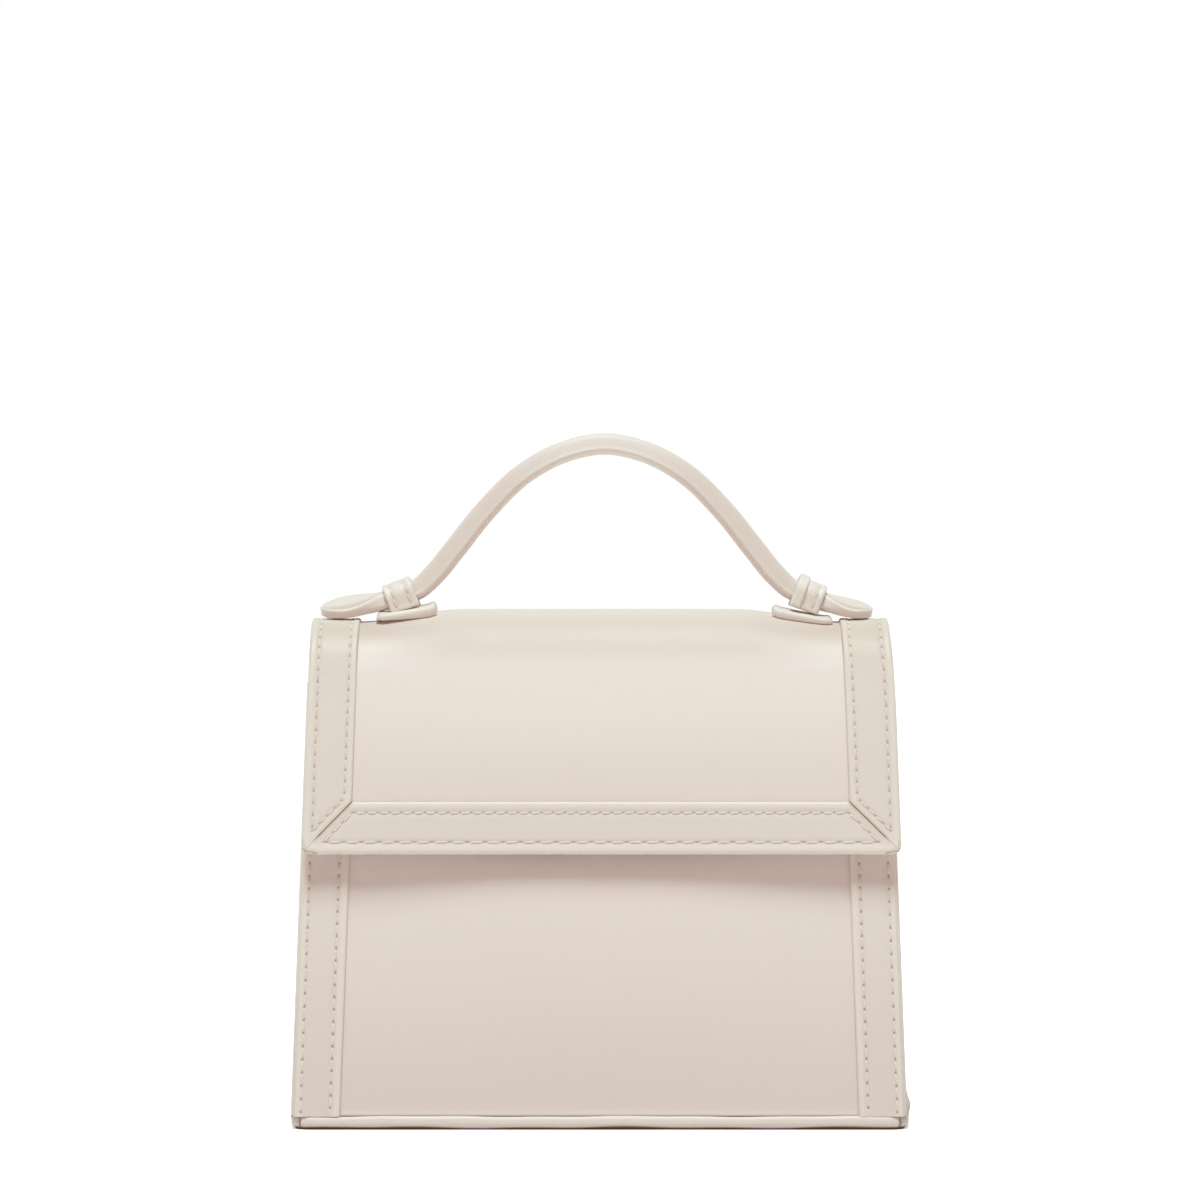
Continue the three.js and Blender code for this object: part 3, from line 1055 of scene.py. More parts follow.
    def piece(self, name: str) -> bpy.types.Object:
        """Make the piece's object.

        Args:
            name: Name of the piece.

        Returns:
            A closed mesh object with its vertex values.
        """
        shares = stops(self.length, self.margin, self.fine, self.step)
        coarse = max(self.step, self.width / self.most_columns)
        across = stops(self.width, self.margin, self.fine, coarse)
        along_share, across_share = np.meshgrid(shares, across, indexing="ij")
        flat = self.flat(along_share, across_share)
        height, tints = self.relief(flat.reshape(-1, 2))
        height = height - self.shape.pit * tints[Tint.PIT]
        height = height.reshape(flat.shape[:2])
        if self.taper is not None:
            height = height * self.taper(along_share)
        outer = self.form.place(flat[..., 0], flat[..., 1], self.seat + height)
        picked = np.unique(np.linspace(0, len(across) - 1, self.inner_columns).round().astype(int))
        low = flat[:, picked]
        inner = self.form.place(low[..., 0], low[..., 1], np.full(low.shape[:2], self.seat))
        ids = np.arange(outer[..., 0].size).reshape(outer.shape[:2])
        under = ids.size + np.arange(inner[..., 0].size).reshape(inner.shape[:2])
        rims = [np.stack([under[:, 0], ids[:, 0]], axis=1), np.stack([ids[:, -1], under[:, -1]], axis=1)]
        start = np.concatenate([ids[0, ::-1], under[0]])
        end = np.concatenate([ids[-1], under[-1, ::-1]])
        caps = [start[None], end[None]]
        points = np.concatenate([outer.reshape(-1, 3), inner.reshape(-1, 3)])
        blank = np.zeros(under.size)
        values = {tint: np.concatenate([value, blank]) for tint, value in tints.items()}
        skin = Skin()
        skin.add(points, [weave(ids), weave(under[:, ::-1]), *(weave(rim) for rim in rims), *caps], values)
        return skin.piece(name)


@dataclass(frozen=True)
class Thread:
    """Sewing thread laid in the stitch rows of leather pieces, in millimetres.

    A stitch starts and ends a share of a hole's length inside its holes, and dives and thins there.
    """

    radius: float = 0.36
    slant: float = 0.12
    rings: int = 9
    round: int = 6
    inside: float = 0.28
    bed: float = 0.15
    sink: float = 0.5
    dive_power: int = 5
    thinning: float = 0.35
    probe: float = 0.1

    def stitch(self, leather: Leather, row: StitchRow, skin: Skin) -> None:
        """Add the stitches of one row.

        Args:
            leather: Piece that is sewn.
            row: Its row of stitches.
            skin: Mesh that takes the thread.
        """
        share = np.linspace(0, 1, self.rings)
        starts = np.arange(row.count) * row.step + row.hole * self.inside
        flat = row.at(starts[:, None] + share * (row.step - row.hole * 2 * self.inside))
        heading = unit(np.gradient(flat, axis=1))
        aside = np.stack([-heading[..., 1], heading[..., 0]], axis=-1)
        flat = flat + aside * (self.slant * (2 * share - 1))[:, None]
        floor = leather.relief(flat.reshape(-1, 2))[0].reshape(flat.shape[:2])
        dive = np.abs(2 * share - 1) ** self.dive_power
        out = leather.seat + floor - self.bed * self.radius - self.sink * dive
        centre = leather.form.place(flat[..., 0], flat[..., 1], out)
        up = unit(leather.form.place(flat[..., 0], flat[..., 1], out + self.probe) - centre)
        beside = unit(np.cross(np.gradient(centre, axis=1), up))
        reach = self.radius * (1 - self.thinning * dive)[:, None]
        turn = np.arange(self.round) / self.round * 2 * np.pi
        for middle, rise, wide in zip(centre, up, beside):
            ring = np.cos(turn)[:, None] * wide[:, None] + np.sin(turn)[:, None] * rise[:, None]
            skin.tube(middle[:, None] + ring * reach[..., None])

    def sew(self, leathers: Sequence[Leather], name: str) -> bpy.types.Object:
        """Make the thread of several leather pieces as one object.

        Args:
            leathers: Sewn pieces.
            name: Name of the thread's object.

        Returns:
            The object.
        """
        skin = Skin()
        for leather in leathers:
            for row in leather.rows:
                self.stitch(leather, row, skin)
        return skin.piece(name)


@dataclass
class Body:
    """Front and back walls with their bands, and the folded sides."""

    sizes: BodySizes
    wardrobe: Wardrobe
    thread: Thread
    seam_height: float
    # The wall's lower rim takes painted shade along its seam with the welt.
    wall_edge: EdgeShape = EdgeShape(round=0.2, bead=0.0, groove=0.3, rim_pit=0.8)
    band: float = 16.0
    band_set_back: float = 0.9
    stitch_inset: float = 3.3
    outer_pitch: float = 4.25
    outer_ends: Span = (0.9, 3.0)
    inner_pitch: float = 4.0
    inner_ends: Span = (2.2, 3.0)
    tucked: float = 0.35
    dome: float = 1.6
    gusset_rows: int = 96
    gusset_columns: int = 45
    flange: float = 4.5
    seam: float = 0.05
    swell: float = 2.3
    fold: float = 10.0
    fold_power: float = 1.4
    fold_round: float = 0.004
    ear: float = 1.2
    ear_height: float = 8.0
    ear_width: float = 3.0
    ear_span: Span = (0.7, 1.0)

    def wall(self, form: WallForm, top: float) -> Leather:
        """Panel of one wall.

        Args:
            form: Face of the wall.
            top: Height of its upper edge.

        Returns:
            The cut leather.
        """
        sizes = self.sizes

        def cut(along: Grid, across: Grid) -> tuple[Grid, Grid]:
            """Place at shares of the wall's height and width."""
            height = lerp(sizes.wall_foot - self.tucked, top, along)
            return lerp(-1, 1, across) * sizes.half_width(height), height

        length = top - sizes.wall_foot
        return Leather(
            form, cut, length, sizes.base_width, -sizes.panel, sizes.panel, self.wall_edge,
            fine=0.6, step=2.4, inner_columns=30, rim=Edge.START,
        )

    def front_band(self, form: WallForm, side: Side) -> Leather:
        """Upright band along one side of the front.

        Args:
            form: Face of the front wall.
            side: Which side.

        Returns:
            The cut and stitched leather.
        """
        sizes = self.sizes
        foot, top = sizes.wall_foot, sizes.front_height - sizes.gap
        low, high = self.band_set_back, self.band

        def cut(along: Grid, across: Grid) -> tuple[Grid, Grid]:
            """Place at shares along and across the band."""
            height = lerp(foot, top, along)
            return side.value * (sizes.half_width(height) - lerp(low, high, across)), height

        made = Leather(form, cut, top - foot, high - low, sizes.band_seat, sizes.band_thick)
        made.raw = (Edge.START,)
        made.sew(Edge.LOW, self.stitch_inset - low, self.outer_pitch, self.outer_ends)
        made.sew(Edge.HIGH, self.stitch_inset, self.inner_pitch, self.inner_ends)
        return made

    def gusset(self, side: Side) -> bpy.types.Object:
        """Side wall with a seam flange behind each panel, swollen at its foot and folded in at its top.

        Args:
            side: Which side.

        Returns:
            The object.
        """
        sizes = self.sizes
        runs = np.concatenate([[-1.0], np.linspace(-1, 1, self.gusset_columns), [1.0]])
        flange = np.zeros(len(runs))
        flange[[0, -1]] = self.flange
        corner = 1 / math.sqrt(2)
        sections = []
        for height in np.linspace(sizes.wall_foot, sizes.gusset_height, self.gusset_rows):
            rise = smooth(height, sizes.wall_foot, sizes.gusset_height)
            depth = sizes.wall_depth(height) - sizes.panel - self.seam - sizes.gusset / 2
            swell = self.swell * (1 - rise) ** 2 * (1 - runs**4)
            fold = self.fold * rise * (1 - np.sqrt(runs**2 + self.fold_round) ** self.fold_power)
            out = sizes.half_width(height) - self.flange + swell - fold + flange
            if side is Side.LEFT:
                out = out + sizes.ease_left
            else:
                ear = self.ear * bell(height - self.ear_height, self.ear_width)
                out = out + ear * smooth(-runs, *self.ear_span)
            plan = np.stack([out, runs * depth], axis=1)
            heading = np.gradient(plan, axis=0)
            heading[0], heading[-1] = (-1, 0), (1, 0)
            heading[1], heading[-2] = (-corner, corner), (corner, corner)
            heading = unit(heading)
            normal = np.stack([heading[:, 1], -heading[:, 0]], axis=1) * sizes.gusset / 2
            loop = np.concatenate([plan + normal, (plan - normal)[::-1]])
            level = np.full(len(loop), height)
            sections.append(np.column_stack([side.value * loop[:, 0], loop[:, 1], level]))
        skin = Skin()
        skin.tube(np.array(sections))
        return skin.piece(f"gusset_{side.word}_side")

    def build(self) -> None:
        """Make and dress every piece of the body."""
        front = WallForm(self.sizes, Facing.FRONT, self.sizes.front_height, self.dome)
        back = WallForm(self.sizes, Facing.BACK, self.seam_height)
        dress = self.wardrobe.dress
        dress(self.wall(front, self.sizes.front_height).piece("front_wall"), Slot.PANEL, ["front_panel"])
        dress(self.wall(back, self.sizes.back_height).piece("back_wall"), Slot.PANEL, ["back_panel"])
        bands = []
        for side in Side:
            dress(self.gusset(side), Slot.SIDE, [f"gusset_{side.word}"])
            band = self.front_band(front, side)
            dress(band.piece(f"front_edge_{side.word}"), Slot.TRIM, [f"front_band_{side.word}"])
            bands.append(band)
        dress(self.thread.sew(bands, "front_stitches"), Slot.THREAD)


@dataclass
class Base:
    """Bottom panel and the rounded welt round its edge, in millimetres and shares of the welt's height."""

    wardrobe: Wardrobe
    width: float = 198.0
    depth: float = 80.2
    corner: float = 6.0
    bow: float = 1.5
    side_steps: int = 90
    corner_steps: int = 40
    welt_width: float = 3.0
    welt_height: float = 4.3
    side_rise: float = 1.5
    spare: float = 0.03
    round: int = 32
    round_power: float = 0.75
    undercut: float = 0.65
    undercut_span: Span = (0.06, 0.4)
    # Span of rise below which the welt's underside takes a painted contact shadow.
    sole_span: Span = (0.11, 0.29)
    # Share and span of rise of the painted highlight on the welt's upper half.
    worn: float = 0.4
    worn_span: Span = (0.36, 0.5)
    pinch: float = 0.22
    pinch_inset: float = 2.0
    pinch_width: float = 2.2
    pinch_turns: float = 2.4
    tuck_x: float = 96.9
    tuck_width: float = 0.25
    tuck_span: Span = (30.0, 36.0)
    tuck_depth: float = 0.45
    # Share of painted shade in the tuck at each corner.
    tuck_stain: float = 0.8
    top_waves: tuple[Wave, Wave] = (Wave(0.12, 11.0, 7.0), Wave(0.07, 4.1))
    # Waves that make the painted shadow's upper edge uneven.
    sole_waves: tuple[Wave, Wave] = (Wave(0.05, 13.0, start=1.0), Wave(0.04, 5.3))

    def line(self) -> Grid:
        """Middle line of the welt.

        Returns:
            Flat points round the foot, counter-clockwise, with bowed short sides and round corners.
        """
        half, deep, near = self.width / 2, self.depth / 2, self.corner
        share = np.linspace(0, 1, self.side_steps, endpoint=False)[:, None]
        bend = np.linspace(0, 1, self.corner_steps, endpoint=False)[:, None]

        def curve(start: Span, middle: Span, end: Span, at: Grid) -> Grid:
            """Curve from start to end that leans towards the middle point."""
            a, b, c = (np.array(point, dtype=float) for point in (start, middle, end))
            return lerp(lerp(a, b, at), lerp(b, c, at), at)

        front = lerp(np.array([near - half, -deep]), np.array([half - near, -deep]), share)
        turn = curve((half - near, -deep), (half, -deep), (half, near - deep), bend)
        side = curve((half, near - deep), (half + 2 * self.bow, 0), (half, deep - near), share)
        back_turn = curve((half, deep - near), (half, deep), (half - near, deep), bend)
        half_way = np.concatenate([front, turn, side, back_turn])
        return np.concatenate([half_way, -half_way])

    def welt(self) -> bpy.types.Object:
        """Rounded welt with small pinches where it turns the corners.

        Returns:
            The object.
        """
        line = self.line()
        x, y = line.T
        heading = unit(np.roll(line, -1, axis=0) - np.roll(line, 1, axis=0))
        normal = np.stack([heading[:, 1], -heading[:, 0]], axis=1)
        bowed = (np.abs(x) - self.width / 2) / self.bow
        wave = self.top_waves[0].at(x, y) + self.top_waves[1].at(x, y)
        height = self.welt_height + self.side_rise * smooth(bowed, 0, 1) + wave
        inset = [self.width / 2 - self.pinch_inset, self.depth / 2 - self.pinch_inset]
        corners = np.linalg.norm(np.abs(line) - inset, axis=1)
        pinch = self.pinch * bell(corners, self.pinch_width) * np.cos(x * self.pinch_turns)
        turn = np.linspace(0, 2 * np.pi, self.round + 1)[:-1] + np.pi / self.round
        out = np.sign(np.cos(turn)) * np.abs(np.cos(turn)) ** self.round_power
        rise = (np.sin(turn) + 1) / 2
        undercut = 1 - self.undercut * (1 - smooth(rise, *self.undercut_span))
        uneven = self.sole_waves[0].at(x, y) + self.sole_waves[1].at(x, y)
        # Painted contact shadow on the welt's underside, with an uneven upper edge.
        sole = 1 - smooth(rise - uneven[:, None], *self.sole_span)
        # Painted highlight on the welt's upper half.
        worn = np.broadcast_to(self.worn * smooth(rise, *self.worn_span), sole.shape)
        tuck = bell(np.abs(x) - self.tuck_x, self.tuck_width) * smooth(np.abs(y), *self.tuck_span)
        half = self.welt_width / 2 - self.spare - np.abs(pinch) - self.tuck_depth * tuck
        plan = line[:, None] + normal[:, None] * (out * undercut * half[:, None])[..., None]
        up = np.maximum(rise * (height + pinch)[:, None], 0)
        # Painted shade under the welt and in the corner tucks.
        stain = np.maximum(sole, self.tuck_stain * tuck[:, None])
        skin = Skin()
        skin.tube(np.concatenate([plan, up[..., None]], axis=-1), True, {Tint.PIT: stain, Tint.LIP: worn})
        return skin.piece("foot_welt")

    def build(self) -> None:
        """Make and dress the base."""
        self.wardrobe.dress(self.welt(), Slot.TRIM, ["base_welt"])
        self.wardrobe.redress("base_panel", Slot.SIDE)


@dataclass
class Flap:
    """Flap panel with its mitred bands and the hidden closure."""

    form: FlapForm
    wardrobe: Wardrobe
    thread: Thread
    panel_edge: EdgeShape = EdgeShape(round=0.6, bead=0.0, groove=0.3, pit=0.0, pit_tint=0.0)
    band_edge: EdgeShape = EdgeShape(pit_tint=0.52)
    side_band: float = 16.0
    front_band: float = 17.0
    stitch_inset: float = 3.3
    inner_inset: float = 2.6
    mitre_inset: float = 2.6
    front_inset: float = 3.7
    seam_clear: float = 1.5
    end_clear: float = 3.0
    outer_pitch: float = 4.05
    inner_pitch: float = 3.8
    upper_pitch: float = 3.85
    lower_pitch: float = 5.7
    lower_hole: float = 2.0
    mitre_gap: float = 0.04
    corner: float = 3.0

    @property
    def corner_cut(self) -> float:
        """Distance of the rounded corner's middle from both edges."""
        return self.corner * (1 - math.sqrt(0.5))

    def rounded(self, distance: Grid) -> Grid:
        """Distance that the rounded corner leaves one edge at a distance from the other edge."""
        return self.corner - np.sqrt(self.corner**2 - np.clip(self.corner - distance, 0, self.corner) ** 2)

    def panel(self) -> Leather:
        """Panel of the flap, from its front edge over the crown to the seam at the back.

        Returns:
            The cut leather, sewn along its back edge.
        """
        form = self.form
        thick = form.sizes.panel
        clear = self.side_band + self.seam_clear

        def cut(along: Grid, across: Grid) -> tuple[Grid, Grid]:
            """Place at shares of the flap's run and width."""
            run = along * form.whole_run
            return lerp(-1, 1, across) * (form.half_width(run) - self.rounded(run)), run

        made = Leather(
            form, cut, form.whole_run, form.sizes.top_width, -thick, thick, self.panel_edge,
            fine=0.6, step=1.8, inner_columns=40,
        )
        made.sew(Edge.END, self.stitch_inset, self.inner_pitch, (clear, clear))
        return made

    def edge(self, side: Side) -> Leather:
        """Band along one side of the flap.

        Args:
            side: Which side.

        Returns:
            The cut and stitched leather, its front end cut to the mitre.
        """
        form, sizes, whole = self.form, self.form.sizes, self.form.whole_run

        def cut(along: Grid, across: Grid) -> tuple[Grid, Grid]:
            """Place on the band.

            Args:
                along: Shares along the band.
                across: Shares across it.

            Returns:
                Places across the flap, and runs up it.
            """
            run = lerp(lerp(self.corner_cut, self.front_band, across) + self.mitre_gap, whole, along)
            inside = lerp(self.rounded(lerp(self.corner_cut, whole, along)), self.side_band, across)
            return side.value * (form.half_width(run) - inside), run

        made = Leather(form, cut, whole, self.side_band, sizes.band_seat, sizes.band_thick, self.band_edge)
        made.mitred = (Edge.START,)
        inset = self.stitch_inset
        made.sew(Edge.LOW, inset, self.outer_pitch, (inset, self.end_clear))
        made.sew(Edge.HIGH, self.inner_inset, self.inner_pitch, (inset, self.end_clear))
        made.sew(Edge.START, self.mitre_inset, self.inner_pitch, (inset, inset))
        return made

    def front(self) -> Leather:
        """Band along the front edge of the flap.

        Returns:
            The cut and stitched leather, both ends cut to the mitre.
        """
        form, sizes = self.form, self.form.sizes

        def cut(along: Grid, across: Grid) -> tuple[Grid, Grid]:
            """Place on the band.

            Args:
                along: Shares along the band.
                across: Shares across it.

            Returns:
                Places across the flap, and runs up it.
            """
            half = form.half_width(across * self.front_band)
            x = lerp(-1, 1, along) * (half - lerp(self.corner_cut, self.side_band, across) - self.mitre_gap)
            outside = half * (1 - np.abs(2 * along - 1)) + self.corner_cut
            return x, lerp(self.rounded(outside), self.front_band, across)

        wide, seat, thick = self.front_band, sizes.band_seat, sizes.band_thick
        made = Leather(form, cut, sizes.top_width, wide, seat, thick, self.band_edge)
        made.mitred = (Edge.START, Edge.END)
        inset, mitre = self.front_inset, self.mitre_inset
        made.sew(Edge.LOW, inset, self.lower_pitch, (mitre, mitre), self.lower_hole)
        made.sew(Edge.HIGH, inset, self.upper_pitch, (mitre, mitre))
        for end in made.mitred:
            made.sew(end, mitre, self.inner_pitch, (inset, inset))
        return made

    def build(self) -> None:
        """Make and dress every piece of the flap."""
        dress = self.wardrobe.dress
        panel = self.panel()
        dress(panel.piece("flap_leather"), Slot.PANEL, ["flap_panel"])
        front = self.front()
        dress(front.piece("flap_edge_front"), Slot.TRIM, ["flap_band_front"])
        sewn = [panel, front]
        for side in Side:
            edge = self.edge(side)
            dress(edge.piece(f"flap_edge_{side.word}"), Slot.TRIM, [f"flap_band_{side.word}"])
            sewn.append(edge)
        dress(self.thread.sew(sewn, "flap_stitches"), Slot.THREAD)
        self.wardrobe.redress("flap_snap", Slot.METAL)


@dataclass(frozen=True)
class HandleRow:
    """Section of the handle: its place, width and thickness, its tilt in degrees and how pressed it is."""

    x: float
    z: float
    wide: float
    thick: float
    tilt: float = 0.0
    flat: float = 0.0


@dataclass
class Carry:
    """Rolled handle with its flat tails, the loops over it and the tabs below.

    Places on the handle's round are shares of its half width and half thickness.
    """

    form: FlapForm
    wardrobe: Wardrobe
    thread: Thread
    fill: float = 0.9
    shift: float = 1.5
    loop_x: float = 67.6
    loop_height: float = 173.5
    loop_tilt: float = 20.5
    loop_width: float = 10.0
    loop_inset: float = 2.6
    loop_pitch: float = 3.4
    loop_clear: float = 1.5
    loop_hole: float = 0.7
    loop_edge: EdgeShape = EdgeShape(bead=0.12, bead_at=1.1, bead_width=0.8, pit=0.25, pit_tint=0.3)
    strap: float = 1.3
    bore_wide: float = 9.3
    bore_thick: float = 7.1
    leg: float = 5.2
    turn_width: float = 3.8
    turn_sink: float = 0.3
    tail_left: float = 1.09
    tail_right: float = 0.87
    tail_twist: float = 1.35
    tail_drop: float = 0.45
    tail_drop_span: Span = (3.0, 12.0)
    tab_inner_x: float = 55.5
    tab_outer_x: float = 75.4
    tab_inner_thick: float = 3.2
    tab_outer_thick: float = 1.5
    tab_right_share: float = 0.8
    tab_reach: float = 8.0
    tab_rise: float = 1.1
    tab_corner: float = 0.12
    tab_edge: EdgeShape = EdgeShape(round=1.2, bead=0.25, bead_at=1.4)
    steps: int = 14
    round: int = 96
    fine_turns: int = 4001
    ridge: float = 0.03
    ridge_rise: float = 0.05
    ridge_width: float = 0.09
    ridge_at: float = -0.52
    top_share: float = 0.66
    upper_power: float = 0.36
    lower_power: float = 0.85
    pressed_power: float = 0.5
    hollow: float = 0.9
    hollow_from: Span = (-0.8, -0.55)
    hollow_to: Span = (-0.2, 0.9)
    dent: float = 0.8
    dent_at: float = -0.62
    dent_width: float = 0.17
    # Band behind the pressed tails' front rim that takes painted shade, and its shares of crease colour and
    # dark pit.
    crease_from: Span = (-0.8, -0.6)
    crease_to: Span = (-0.5, 0.1)
    crease_stain: float = 0.6
    crease_pit: float = 0.1
    # Even warm tone of the handle, painted shade on its steep legs and its underside, and the slopes that
    # count as legs.
    warm: float = 0.05
    warm_legs: float = 0.22
    warm_below: float = 0.7
    leg_slope: Span = (0.3, 0.75)
    rows: tuple[HandleRow, ...] = (
        HandleRow(0, 223.7, 9.4, 7.0),
        HandleRow(13.3, 221.1, 9.4, 7.0),
        HandleRow(26.6, 214.0, 9.4, 7.1),
        HandleRow(39.9, 201.1, 9.4, 7.3),
        HandleRow(49.8, 188.7, 9.4, 7.4),
        HandleRow(56.5, 180.5, 9.3, 7.3),
        HandleRow(61.5, 175.9, 9.2, 6.9),
        HandleRow(67.6, 173.5, 9.2, 6.8),
        HandleRow(73.6, 171.5, 9.6, 6.1, 5, 0.4),
        HandleRow(79.0, 170.6, 11.4, 4.8, 15, 0.9),
        HandleRow(84.4, 169.6, 12.6, 4.0, 17, 1),
        HandleRow(88.6, 168.9, 11.0, 3.9, 13, 1),
        HandleRow(90.8, 168.5, 8.0, 3.6, 9, 0.7),
        HandleRow(91.8, 168.3, 3.6, 2.8, 5, 0.2),
    )

    def route(self) -> Grid:
        """Smooth run of handle sections from tip to tip.

        Returns:
            Place, width, thickness, tilt and flatness of each section.
        """
        right = np.array([(r.x, r.z, r.wide, r.thick, r.tilt, r.flat) for r in self.rows])
        left = right[:0:-1].copy()
        for tail, share in ((right, self.tail_right), (left, self.tail_left)):
            tail[:, 0] += np.maximum(tail[:, 0] - self.loop_x, 0) * (share - 1)
        left[:, 0] *= -1
        left[:, 4] *= self.tail_twist
        drop_from, drop_to = (self.loop_x + past for past in self.tail_drop_span)
        right[:, 1] -= self.tail_drop * smooth(right[:, 0], drop_from, drop_to)
        knots = np.concatenate([left, right])
        time = passed(knots[:, :2])
        slope = np.gradient(knots, time, axis=0)
        runs = []
        share = np.linspace(0, 1, self.steps, endpoint=False)[:, None]
        fade = (1 - share) ** 2
        for i in range(len(knots) - 1):
            span = time[i + 1] - time[i]
            start = (1 + 2 * share) * fade * knots[i] + share * fade * span * slope[i]
            end = share**2 * (3 - 2 * share) * knots[i + 1] + share**2 * (share - 1) * span * slope[i + 1]
            runs.append(start + end)
        return np.concatenate([*runs, knots[-1:]])

    def section(self, turn: Grid, flat: Any) -> tuple[Grid, Grid]:
        """Round of the handle, from rolled to pressed.

        Args:
            turn: Turns round the handle.
            flat: How pressed it is, from 0 to 1.

        Returns:
            Places across and up at each turn.
        """
        rolled = np.where(np.sin(turn) > 0, self.upper_power, self.lower_power)
        power = lerp(rolled, self.pressed_power, flat)
        across = np.sign(np.cos(turn)) * np.abs(np.cos(turn)) ** power
        return across, np.sign(np.sin(turn)) * np.abs(np.sin(turn)) ** power

    def handle(self) -> bpy.types.Object:
        """Rolled handle: a broad upper face, a ridge low on the front and pressed tails.

        Returns:
            The object.
        """
        x, z, wide, thick, tilt, pressed = self.route().T
        heading = unit(np.gradient(np.stack([x, 0 * x, z], axis=1), axis=0))
        lean = np.radians(tilt)
        deep = np.stack([-heading[:, 2] * np.sin(lean), np.cos(lean), heading[:, 0] * np.sin(lean)], axis=1)
        up = np.cross(heading, deep)
        fine = np.linspace(0, 2 * np.pi, self.fine_turns)
        run = np.cumsum(np.hypot(*(np.diff(line, prepend=line[:1]) for line in self.section(fine, 0))))
        turn = np.interp((np.arange(self.round) + 0.5) / self.round * run[-1], run, fine)
        flat = pressed[:, None]
        across, rise = self.section(turn, flat)
        top = np.maximum(rise, 0)
        ridge = self.ridge * bell(rise - self.ridge_rise, self.ridge_width) * (1 - flat)
        rolled = across * lerp(1.0, self.top_share, top) + np.sign(across) * ridge
        lowered = self.ridge_at * (1 - flat) * (1 - np.abs(rise))
        hollow = smooth(across, *self.hollow_from) * (1 - smooth(across, *self.hollow_to)) * flat * top
        # Painted shade behind the tails' front rim.
        crease = smooth(across, *self.crease_from) * (1 - smooth(across, *self.crease_to)) * flat * top
        dent = self.hollow * hollow + self.dent * bell(across - self.dent_at, self.dent_width) * flat * top
        wide_reach = wide[:, None] / 2 * lerp(rolled, across, flat)
        thick_reach = thick[:, None] / 2 * (rise + lowered) - dent
        # Painted shade on the steep legs and the underside, over the handle's even warm tone.
        legs = smooth(np.abs(heading[:, 2:]), *self.leg_slope)
        below = np.maximum(-rise, 0) ** 2 * (1 - flat)
        warm = self.warm + self.warm_legs * legs + self.warm_below * below
        centre = np.stack([x + self.shift, 0 * x + self.form.crown_y, z], axis=1)
        points = centre[:, None] + deep[:, None] * wide_reach[..., None]
        points = points + up[:, None] * thick_reach[..., None]
        # Painted shade of the tails' crease, the legs and the underside.
        tints = {Tint.GROOVE: warm + self.crease_stain * crease, Tint.PIT: self.crease_pit * crease}
        skin = Skin()
        skin.tube(points, tints=tints)
        return skin.piece("rolled_handle")

    def loop(self, side: Side, seat: float, low: float, high: float) -> Leather:
        """Strap over the handle.

        Args:
            side: Which loop.
            seat: Height of its inner face over the bore.
            low: Where its width starts, from the loop's middle towards the tip.
            high: Where its width ends.

        Returns:
            The cut leather.
        """
        gap = self.form.sizes.gap
        centre = (self.shift + side.value * self.loop_x, self.form.crown_y, self.loop_height)
        tilt = side.value * math.radians(self.loop_tilt)
        form = LoopForm(centre, tilt, self.bore_wide / 2 + gap, self.bore_thick / 2 + gap, self.leg)

        def cut(along: Grid, across: Grid) -> tuple[Grid, Grid]:
            """Place at shares along and across the strap."""
            return side.value * lerp(low, high, across) + 0 * along, along * form.length + 0 * across

        return Leather(form, cut, form.length, high - low, seat, self.strap, self.loop_edge)

    def tab(self, side: Side) -> Leather:
        """Tab on the crown below one loop, thicker towards the middle of the bag.

        Args:
            side: Which tab.

        Returns:
            The cut leather.
        """
        form, low, high = self.form, self.tab_inner_x, self.tab_outer_x
        rise, share = (self.tab_rise, 1.0) if side is Side.LEFT else (0.0, self.tab_right_share)
        raised = RaisedForm(form, low, high, rise)

        def cut(along: Grid, across: Grid) -> tuple[Grid, Grid]:
            """Place on the tab.

            Args:
                along: Shares along the tab.
                across: Shares across it.

            Returns:
                Places across the flap, and runs up it.
            """
            corner = self.tab_corner * smooth(np.abs(along - 0.5), 0.5 - self.tab_corner, 0.5)
            run = form.apex + (2 * across - 1) * self.tab_reach * (1 - corner)
            return self.shift + side.value * lerp(low, high, along) + 0 * run, run

        def taper(along: Grid) -> Grid:
            """Share of the thick end's height."""
            return lerp(share, self.tab_outer_thick / self.tab_inner_thick, along)

        wide, seat, thick = 2 * self.tab_reach, form.sizes.gap, self.tab_inner_thick
        return Leather(raised, cut, high - low, wide, seat, thick, self.tab_edge, taper)

    def build(self) -> None:
        """Make and dress the handle, its loops and its tabs."""
        dress = self.wardrobe.dress
        handle = dress(self.handle(), Slot.TRIM, ["handle"])
        sewn = []
        half = self.loop_width / 2
        clear = (self.loop_clear, self.loop_clear)
        for side in Side:
            loop = self.loop(side, 0.0, -half, half)
            for edge in (Edge.LOW, Edge.HIGH):
                loop.sew(edge, self.loop_inset, self.loop_pitch, clear, self.loop_hole)
            dress(loop.piece(f"loop_strap_{side.word}"), Slot.TRIM, [f"handle_loop_{side.word}"])
            sewn.append(loop)
            tab = self.tab(side)
            dress(tab.piece(f"loop_tab_{side.word}"), Slot.TRIM, [f"handle_tab_{side.word}"])
        turn = self.loop(Side.RIGHT, self.strap - self.turn_sink, -half, self.turn_width - half)
        dress(turn.piece("loop_turn_right"), Slot.TRIM)
        dress(self.thread.sew(sewn, "loop_stitches"), Slot.THREAD)


@dataclass(frozen=True)
class Lamp:
    """Soft square light: its place and size in metres, its power and its tint."""

    name: str
    place: Place
    size: float
    power: float
    tint: Place


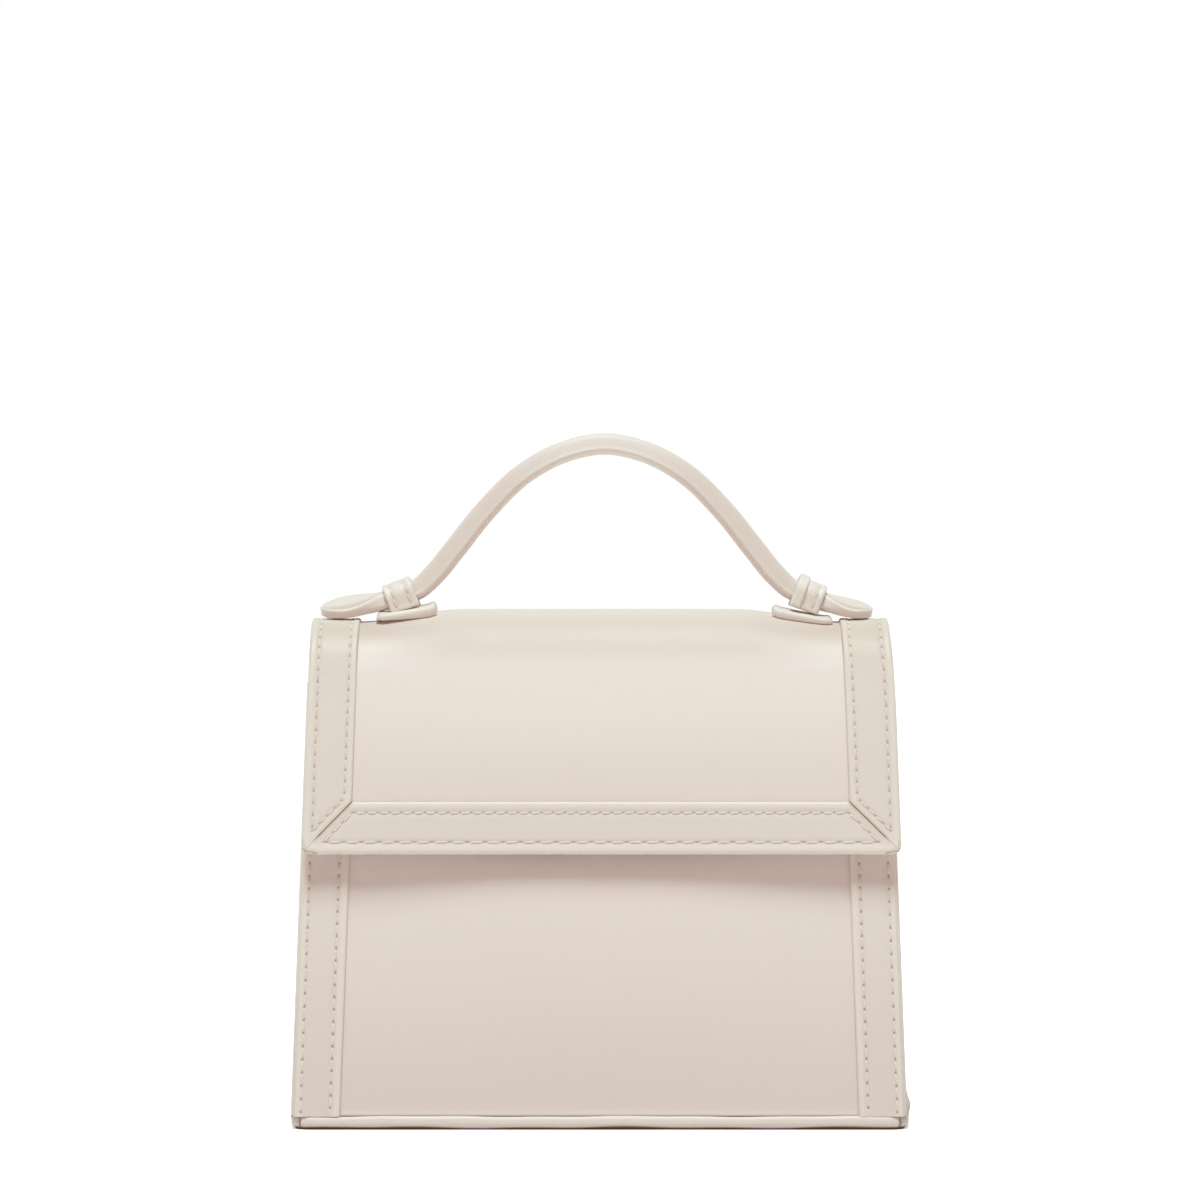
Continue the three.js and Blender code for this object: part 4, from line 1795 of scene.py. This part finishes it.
@dataclass
class Studio:
    """White floor and backdrop, soft lights and the camera, in metres and degrees."""

    distance: float = 1.8
    eye_height: float = 0.172
    lens: float = 162.57
    sensor: float = 36.0
    floor_size: float = 60.0
    floor_colour: int = 0xF3F3F2
    floor_lift: float = 0.34
    sky: float = 0.25
    sky_tint: Colour = (1.0, 0.8, 0.7, 1.0)
    sun: float = 3.14
    sun_tint: Place = (0.785, 1.0, 1.0)
    sun_height: float = 72.5
    sun_side: float = -6.0
    sun_spread: float = 20.0
    lamps: tuple[Lamp, ...] = (
        Lamp("softbox_front", (0.0, -1.2, 0.05), 0.6, 1.76, (1.0, 0.0, 0.0)),
        Lamp("softbox_left", (-0.75, 0.55, 0.45), 0.6, 2.2, (1.0, 0.93, 0.88)),
        Lamp("softbox_right", (0.75, 0.55, 0.45), 0.6, 2.2, (1.0, 0.93, 0.88)),
    )
    aim: Place = (0.0, 0.0, 0.1)

    def hang(self, name: str, data: bpy.types.ID, place: Place, turn: Sequence[float]) -> bpy.types.Object:
        """Put a light or the camera in the scene.

        Args:
            name: Name of the object.
            data: Light or camera.
            place: Where it hangs.
            turn: Its turns about the three axes.

        Returns:
            The object.
        """
        made = bpy.data.objects.new(name, data)
        made.location = place
        made.rotation_euler = turn
        bpy.context.scene.collection.objects.link(made)
        return made

    def floor(self) -> None:
        """Lay the floor."""
        half = self.floor_size / 2 / MM
        corners = half * np.array([(-1, -1, 0), (1, -1, 0), (1, 1, 0), (-1, 1, 0)])
        skin = Skin()
        skin.add(corners, [np.arange(4)[None]])
        made = skin.piece("studio_floor", solid=False)
        paper = PaperFinish("floor_paper", self.floor_colour, self.floor_lift)
        made.data.materials.append(paper.material())

    def softboxes(self) -> None:
        """Hang the soft square lights and turn them to the bag."""
        for lamp in self.lamps:
            data = bpy.data.lights.new(lamp.name, "AREA")
            data.energy = lamp.power
            data.color = lamp.tint
            data.size = lamp.size
            turn = (Vector(self.aim) - Vector(lamp.place)).to_track_quat("-Z", "Y").to_euler()
            self.hang(lamp.name, data, lamp.place, turn).visible_camera = False

    def daylight(self) -> None:
        """Shine a broad light down from high in front."""
        data = bpy.data.lights.new("daylight", "SUN")
        data.energy = self.sun
        data.color = self.sun_tint
        data.angle = math.radians(self.sun_spread)
        turn = (math.radians(90 - self.sun_height), 0.0, math.radians(self.sun_side))
        self.hang("daylight", data, (0.0, 0.0, 0.0), turn)

    def world(self) -> None:
        """Surround the bag with an even warm sky that is seen as white paper."""
        world = bpy.data.worlds.new("white_studio")
        shader = Shader(world)
        sky = shader.node("ShaderNodeBackground", {}, {"Color": self.sky_tint, "Strength": self.sky})
        paper = shader.node("ShaderNodeBackground", {}, {"Color": WHITE, "Strength": 1.0})
        light = shader.node("ShaderNodeMixShader", {}, {0: shader.seen(), 1: sky, 2: paper})
        shader.node("ShaderNodeOutputWorld", {}, {"Surface": light})
        bpy.context.scene.world = world

    def camera(self) -> None:
        """Set the camera level in front of the bag."""
        data = bpy.data.cameras.new("camera")
        data.lens = self.lens
        data.sensor_width = self.sensor
        eye = self.hang("camera", data, (0.0, -self.distance, self.eye_height), (math.pi / 2, 0.0, 0.0))
        bpy.context.scene.camera = eye

    def build(self) -> None:
        """Set up the studio."""
        self.floor()
        self.softboxes()
        self.daylight()
        self.world()
        self.camera()
        bpy.context.scene.view_settings.view_transform = "Standard"


def main() -> None:
    """Build the bag and its studio."""
    logging.basicConfig(level=logging.INFO, format="%(name)s: %(message)s")
    sizes = BodySizes()
    form = FlapForm(sizes)
    wardrobe = Wardrobe()
    thread = Thread()
    Studio().build()
    Body(sizes, wardrobe, thread, form.seam_height).build()
    Base(wardrobe).build()
    Flap(form, wardrobe, thread).build()
    Carry(form, wardrobe, thread).build()


if __name__ == "__main__":
    main()
